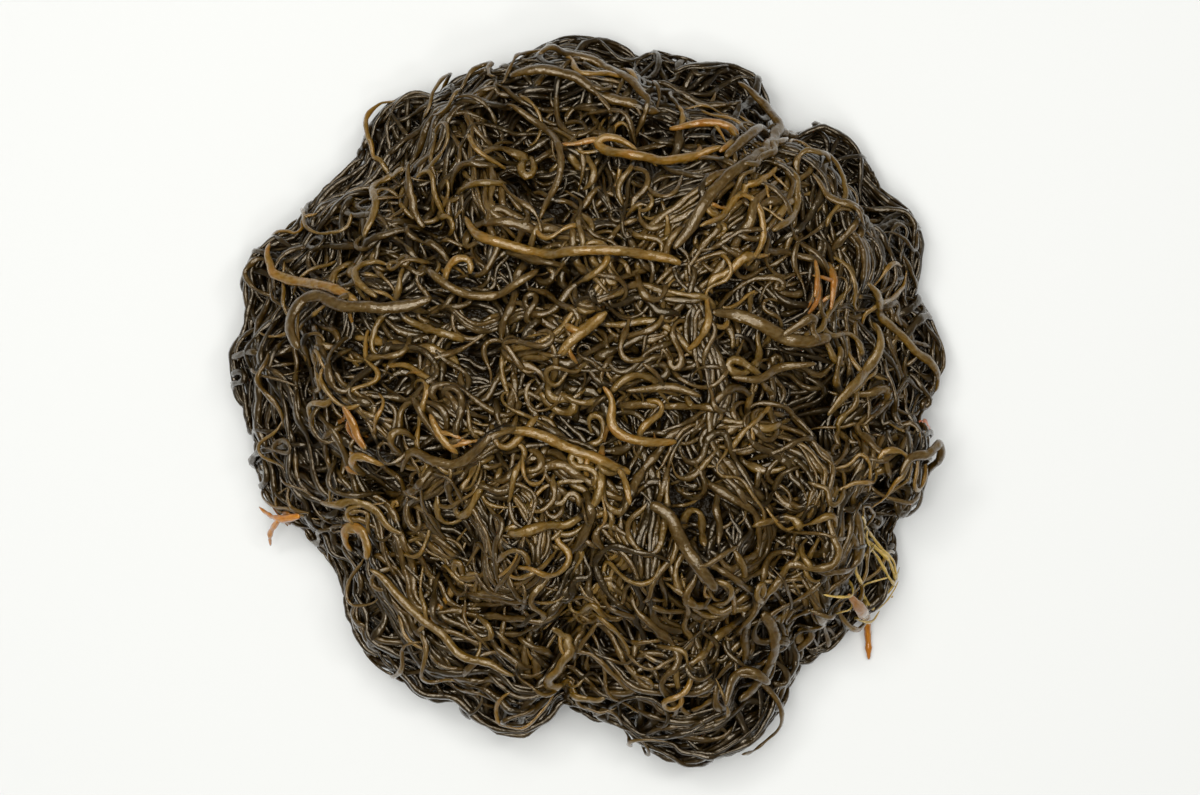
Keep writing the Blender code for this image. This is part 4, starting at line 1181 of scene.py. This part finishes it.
def thread_material(name, tint_scale=TINT_SCALE, crest_highlight_scale=CREST_HIGHLIGHT_SCALE):
    """Wet seaweed: grooved along each thread, lighter on its crest with a painted highlight streaked along
    the grooves, deep and clear at its edges.
    """
    made, shader = new_material(name, WET_SHADER)
    nodes, links = made.node_tree.nodes, made.node_tree.links
    place = nodes.new("ShaderNodeTexCoord").outputs["Object"]
    thread_place = nodes.new("ShaderNodeCombineXYZ")
    links.new(number(nodes, "groove_a"), thread_place.inputs[0])
    links.new(number(nodes, "groove_b"), thread_place.inputs[1])
    links.new(worked(made, "MULTIPLY", number(nodes, "along"), GROOVE_RUN), thread_place.inputs[2])
    grooves = noise(made, thread_place.outputs[0], scale=1.9, detail=2.0)
    mottle = noise(made, place, scale=260.0, detail=3.0)
    shift = worked(made, "MULTIPLY_ADD", mottle, MOTTLE, -MOTTLE / 2)
    # the tint read here holds painted shade as well as the thread's own colour
    tint = worked(made, "ADD", number(nodes, "tint"), shift)
    # painted highlight: the crest is mixed towards lighter colours, streaked by the grooves
    highlight_streaks = worked(made, "MULTIPLY_ADD", grooves, 3.0, -1.6)
    crest_highlight_mix = worked(made, "MULTIPLY_ADD", number(nodes, "crest_highlight"), 0.7, highlight_streaks)
    crest_highlight_limited = nodes.new("ShaderNodeClamp")
    links.new(crest_highlight_mix, crest_highlight_limited.inputs[0])
    mixed = nodes.new("ShaderNodeMix")
    mixed.data_type = "RGBA"
    links.new(crest_highlight_limited.outputs[0], mixed.inputs["Factor"])
    links.new(ramped(made, tint, tint_scale), mixed.inputs["A"])
    links.new(ramped(made, tint, crest_highlight_scale), mixed.inputs["B"])
    links.new(mixed.outputs["Result"], shader.inputs["Base Color"])
    fine = noise(made, place, scale=1400.0, detail=2.0)
    coarse = noise(made, place, scale=420.0, detail=2.0)
    normal = bumped(made, grooves, strength=0.6, distance=0.00022)
    normal = bumped(made, fine, strength=0.4, distance=0.00012, normal=normal)
    normal = bumped(made, coarse, strength=0.6, distance=0.0005, normal=normal)
    links.new(normal, shader.inputs["Normal"])
    links.new(normal, shader.inputs["Coat Normal"])
    return made


def core_material():
    """What shows in the gaps: painted nearly black as shade, uneven and wet."""
    made, shader = new_material("painted_shade_core", CORE_SHADER)
    nodes, links = made.node_tree.nodes, made.node_tree.links
    place = nodes.new("ShaderNodeTexCoord").outputs["Object"]
    lumps = noise(made, place, scale=400.0, detail=3.0)
    links.new(ramped(made, lumps, CORE_SHADE_SCALE), shader.inputs["Base Color"])
    links.new(bumped(made, lumps, strength=1.0, distance=0.002), shader.inputs["Normal"])
    return made


def floor_and_light():
    """A plain pale floor, a broad soft light and four small bright ones, and a camera straight above."""
    floor_data = bpy.data.meshes.new("floor")
    corners = [(-FAR, -FAR, 0), (FAR, -FAR, 0), (FAR, FAR, 0), (-FAR, FAR, 0)]
    floor_data.from_pydata(corners, [], [(0, 1, 2, 3)])
    floor = in_scene("floor", floor_data)
    floor_data.materials.append(new_material("pale_floor", FLOOR_SHADER)[0])
    for name, (size, power, place) in LIGHTS.items():
        light = bpy.data.lights.new(name, "AREA")
        light.shape = "SQUARE"
        light.size = size
        light.energy = power
        light.color = LIGHT_COLOUR
        lamp = in_scene(name, light)
        lamp.location = place
        lamp.rotation_euler = (-Vector(place)).to_track_quat("-Z", "Y").to_euler()
    world = bpy.data.worlds.new("studio")
    world.use_nodes = True
    set_inputs(world.node_tree.nodes["Background"], STUDIO)
    bpy.context.scene.world = world
    bpy.context.scene.view_settings.view_transform = "Standard"
    camera_data = bpy.data.cameras.new("camera")
    camera_data.lens = LENS
    camera_data.sensor_width = SENSOR
    camera = in_scene("camera", camera_data)
    camera.location = EYE
    bpy.context.scene.camera = camera


def dress(piece, slot, material, *nodes):
    piece.data.materials.append(material)
    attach(piece, "root")
    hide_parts(*nodes)


def main():
    rng = np.random.default_rng(SEED)
    cad = Heap()
    lay_locks(cad, np.random.default_rng(SEED))
    heap = Heap()
    heap.start_below(cad, DEPTH)
    dress(core_mesh(heap, "core"), "dark", core_material(), "tangled_threads")
    gathered = {
        "inner_threads": inner_threads(heap, rng),
        "filling_threads": filling_threads(heap, rng),
        "lock_threads": lock_threads(heap, rng),
        "rim_threads": rim_threads(heap, rng),
        "loose_threads": free_threads(heap, rng),
    }
    free = list(fronds(heap, rng, laid_fronds(cad)))
    marked = marked_threads(heap, rng)
    wet = thread_material("wet_threads")
    for name, threads in gathered.items():
        for n, group in enumerate(threads.pieces(), 1):
            piece = tube_mesh(heap, f"{name}_{n}", group, threads.sides)
            dress(piece, "brown" if name == "loose_threads" else "dark", wet, "tangled_threads")
    for n, (colour, threads) in enumerate(free, 1):
        piece = tube_mesh(heap, f"free_frond_{n:02d}", threads.made, threads.sides)
        dress(piece, colour, wet, f"frond_{n:02d}")
    for colour, threads in marked.items():
        # the crest colour of these threads is a painted highlight
        slot, edge, crest_highlight = MARK_COLOURS[colour]
        name = f"{colour}_threads"
        material = thread_material(name, ((0.0, edge), (1.0, edge)), ((0.0, crest_highlight), (1.0, crest_highlight)))
        piece = tube_mesh(heap, name, threads.made, threads.sides)
        dress(piece, slot, material, "tangled_threads")
    floor_and_light()


main()
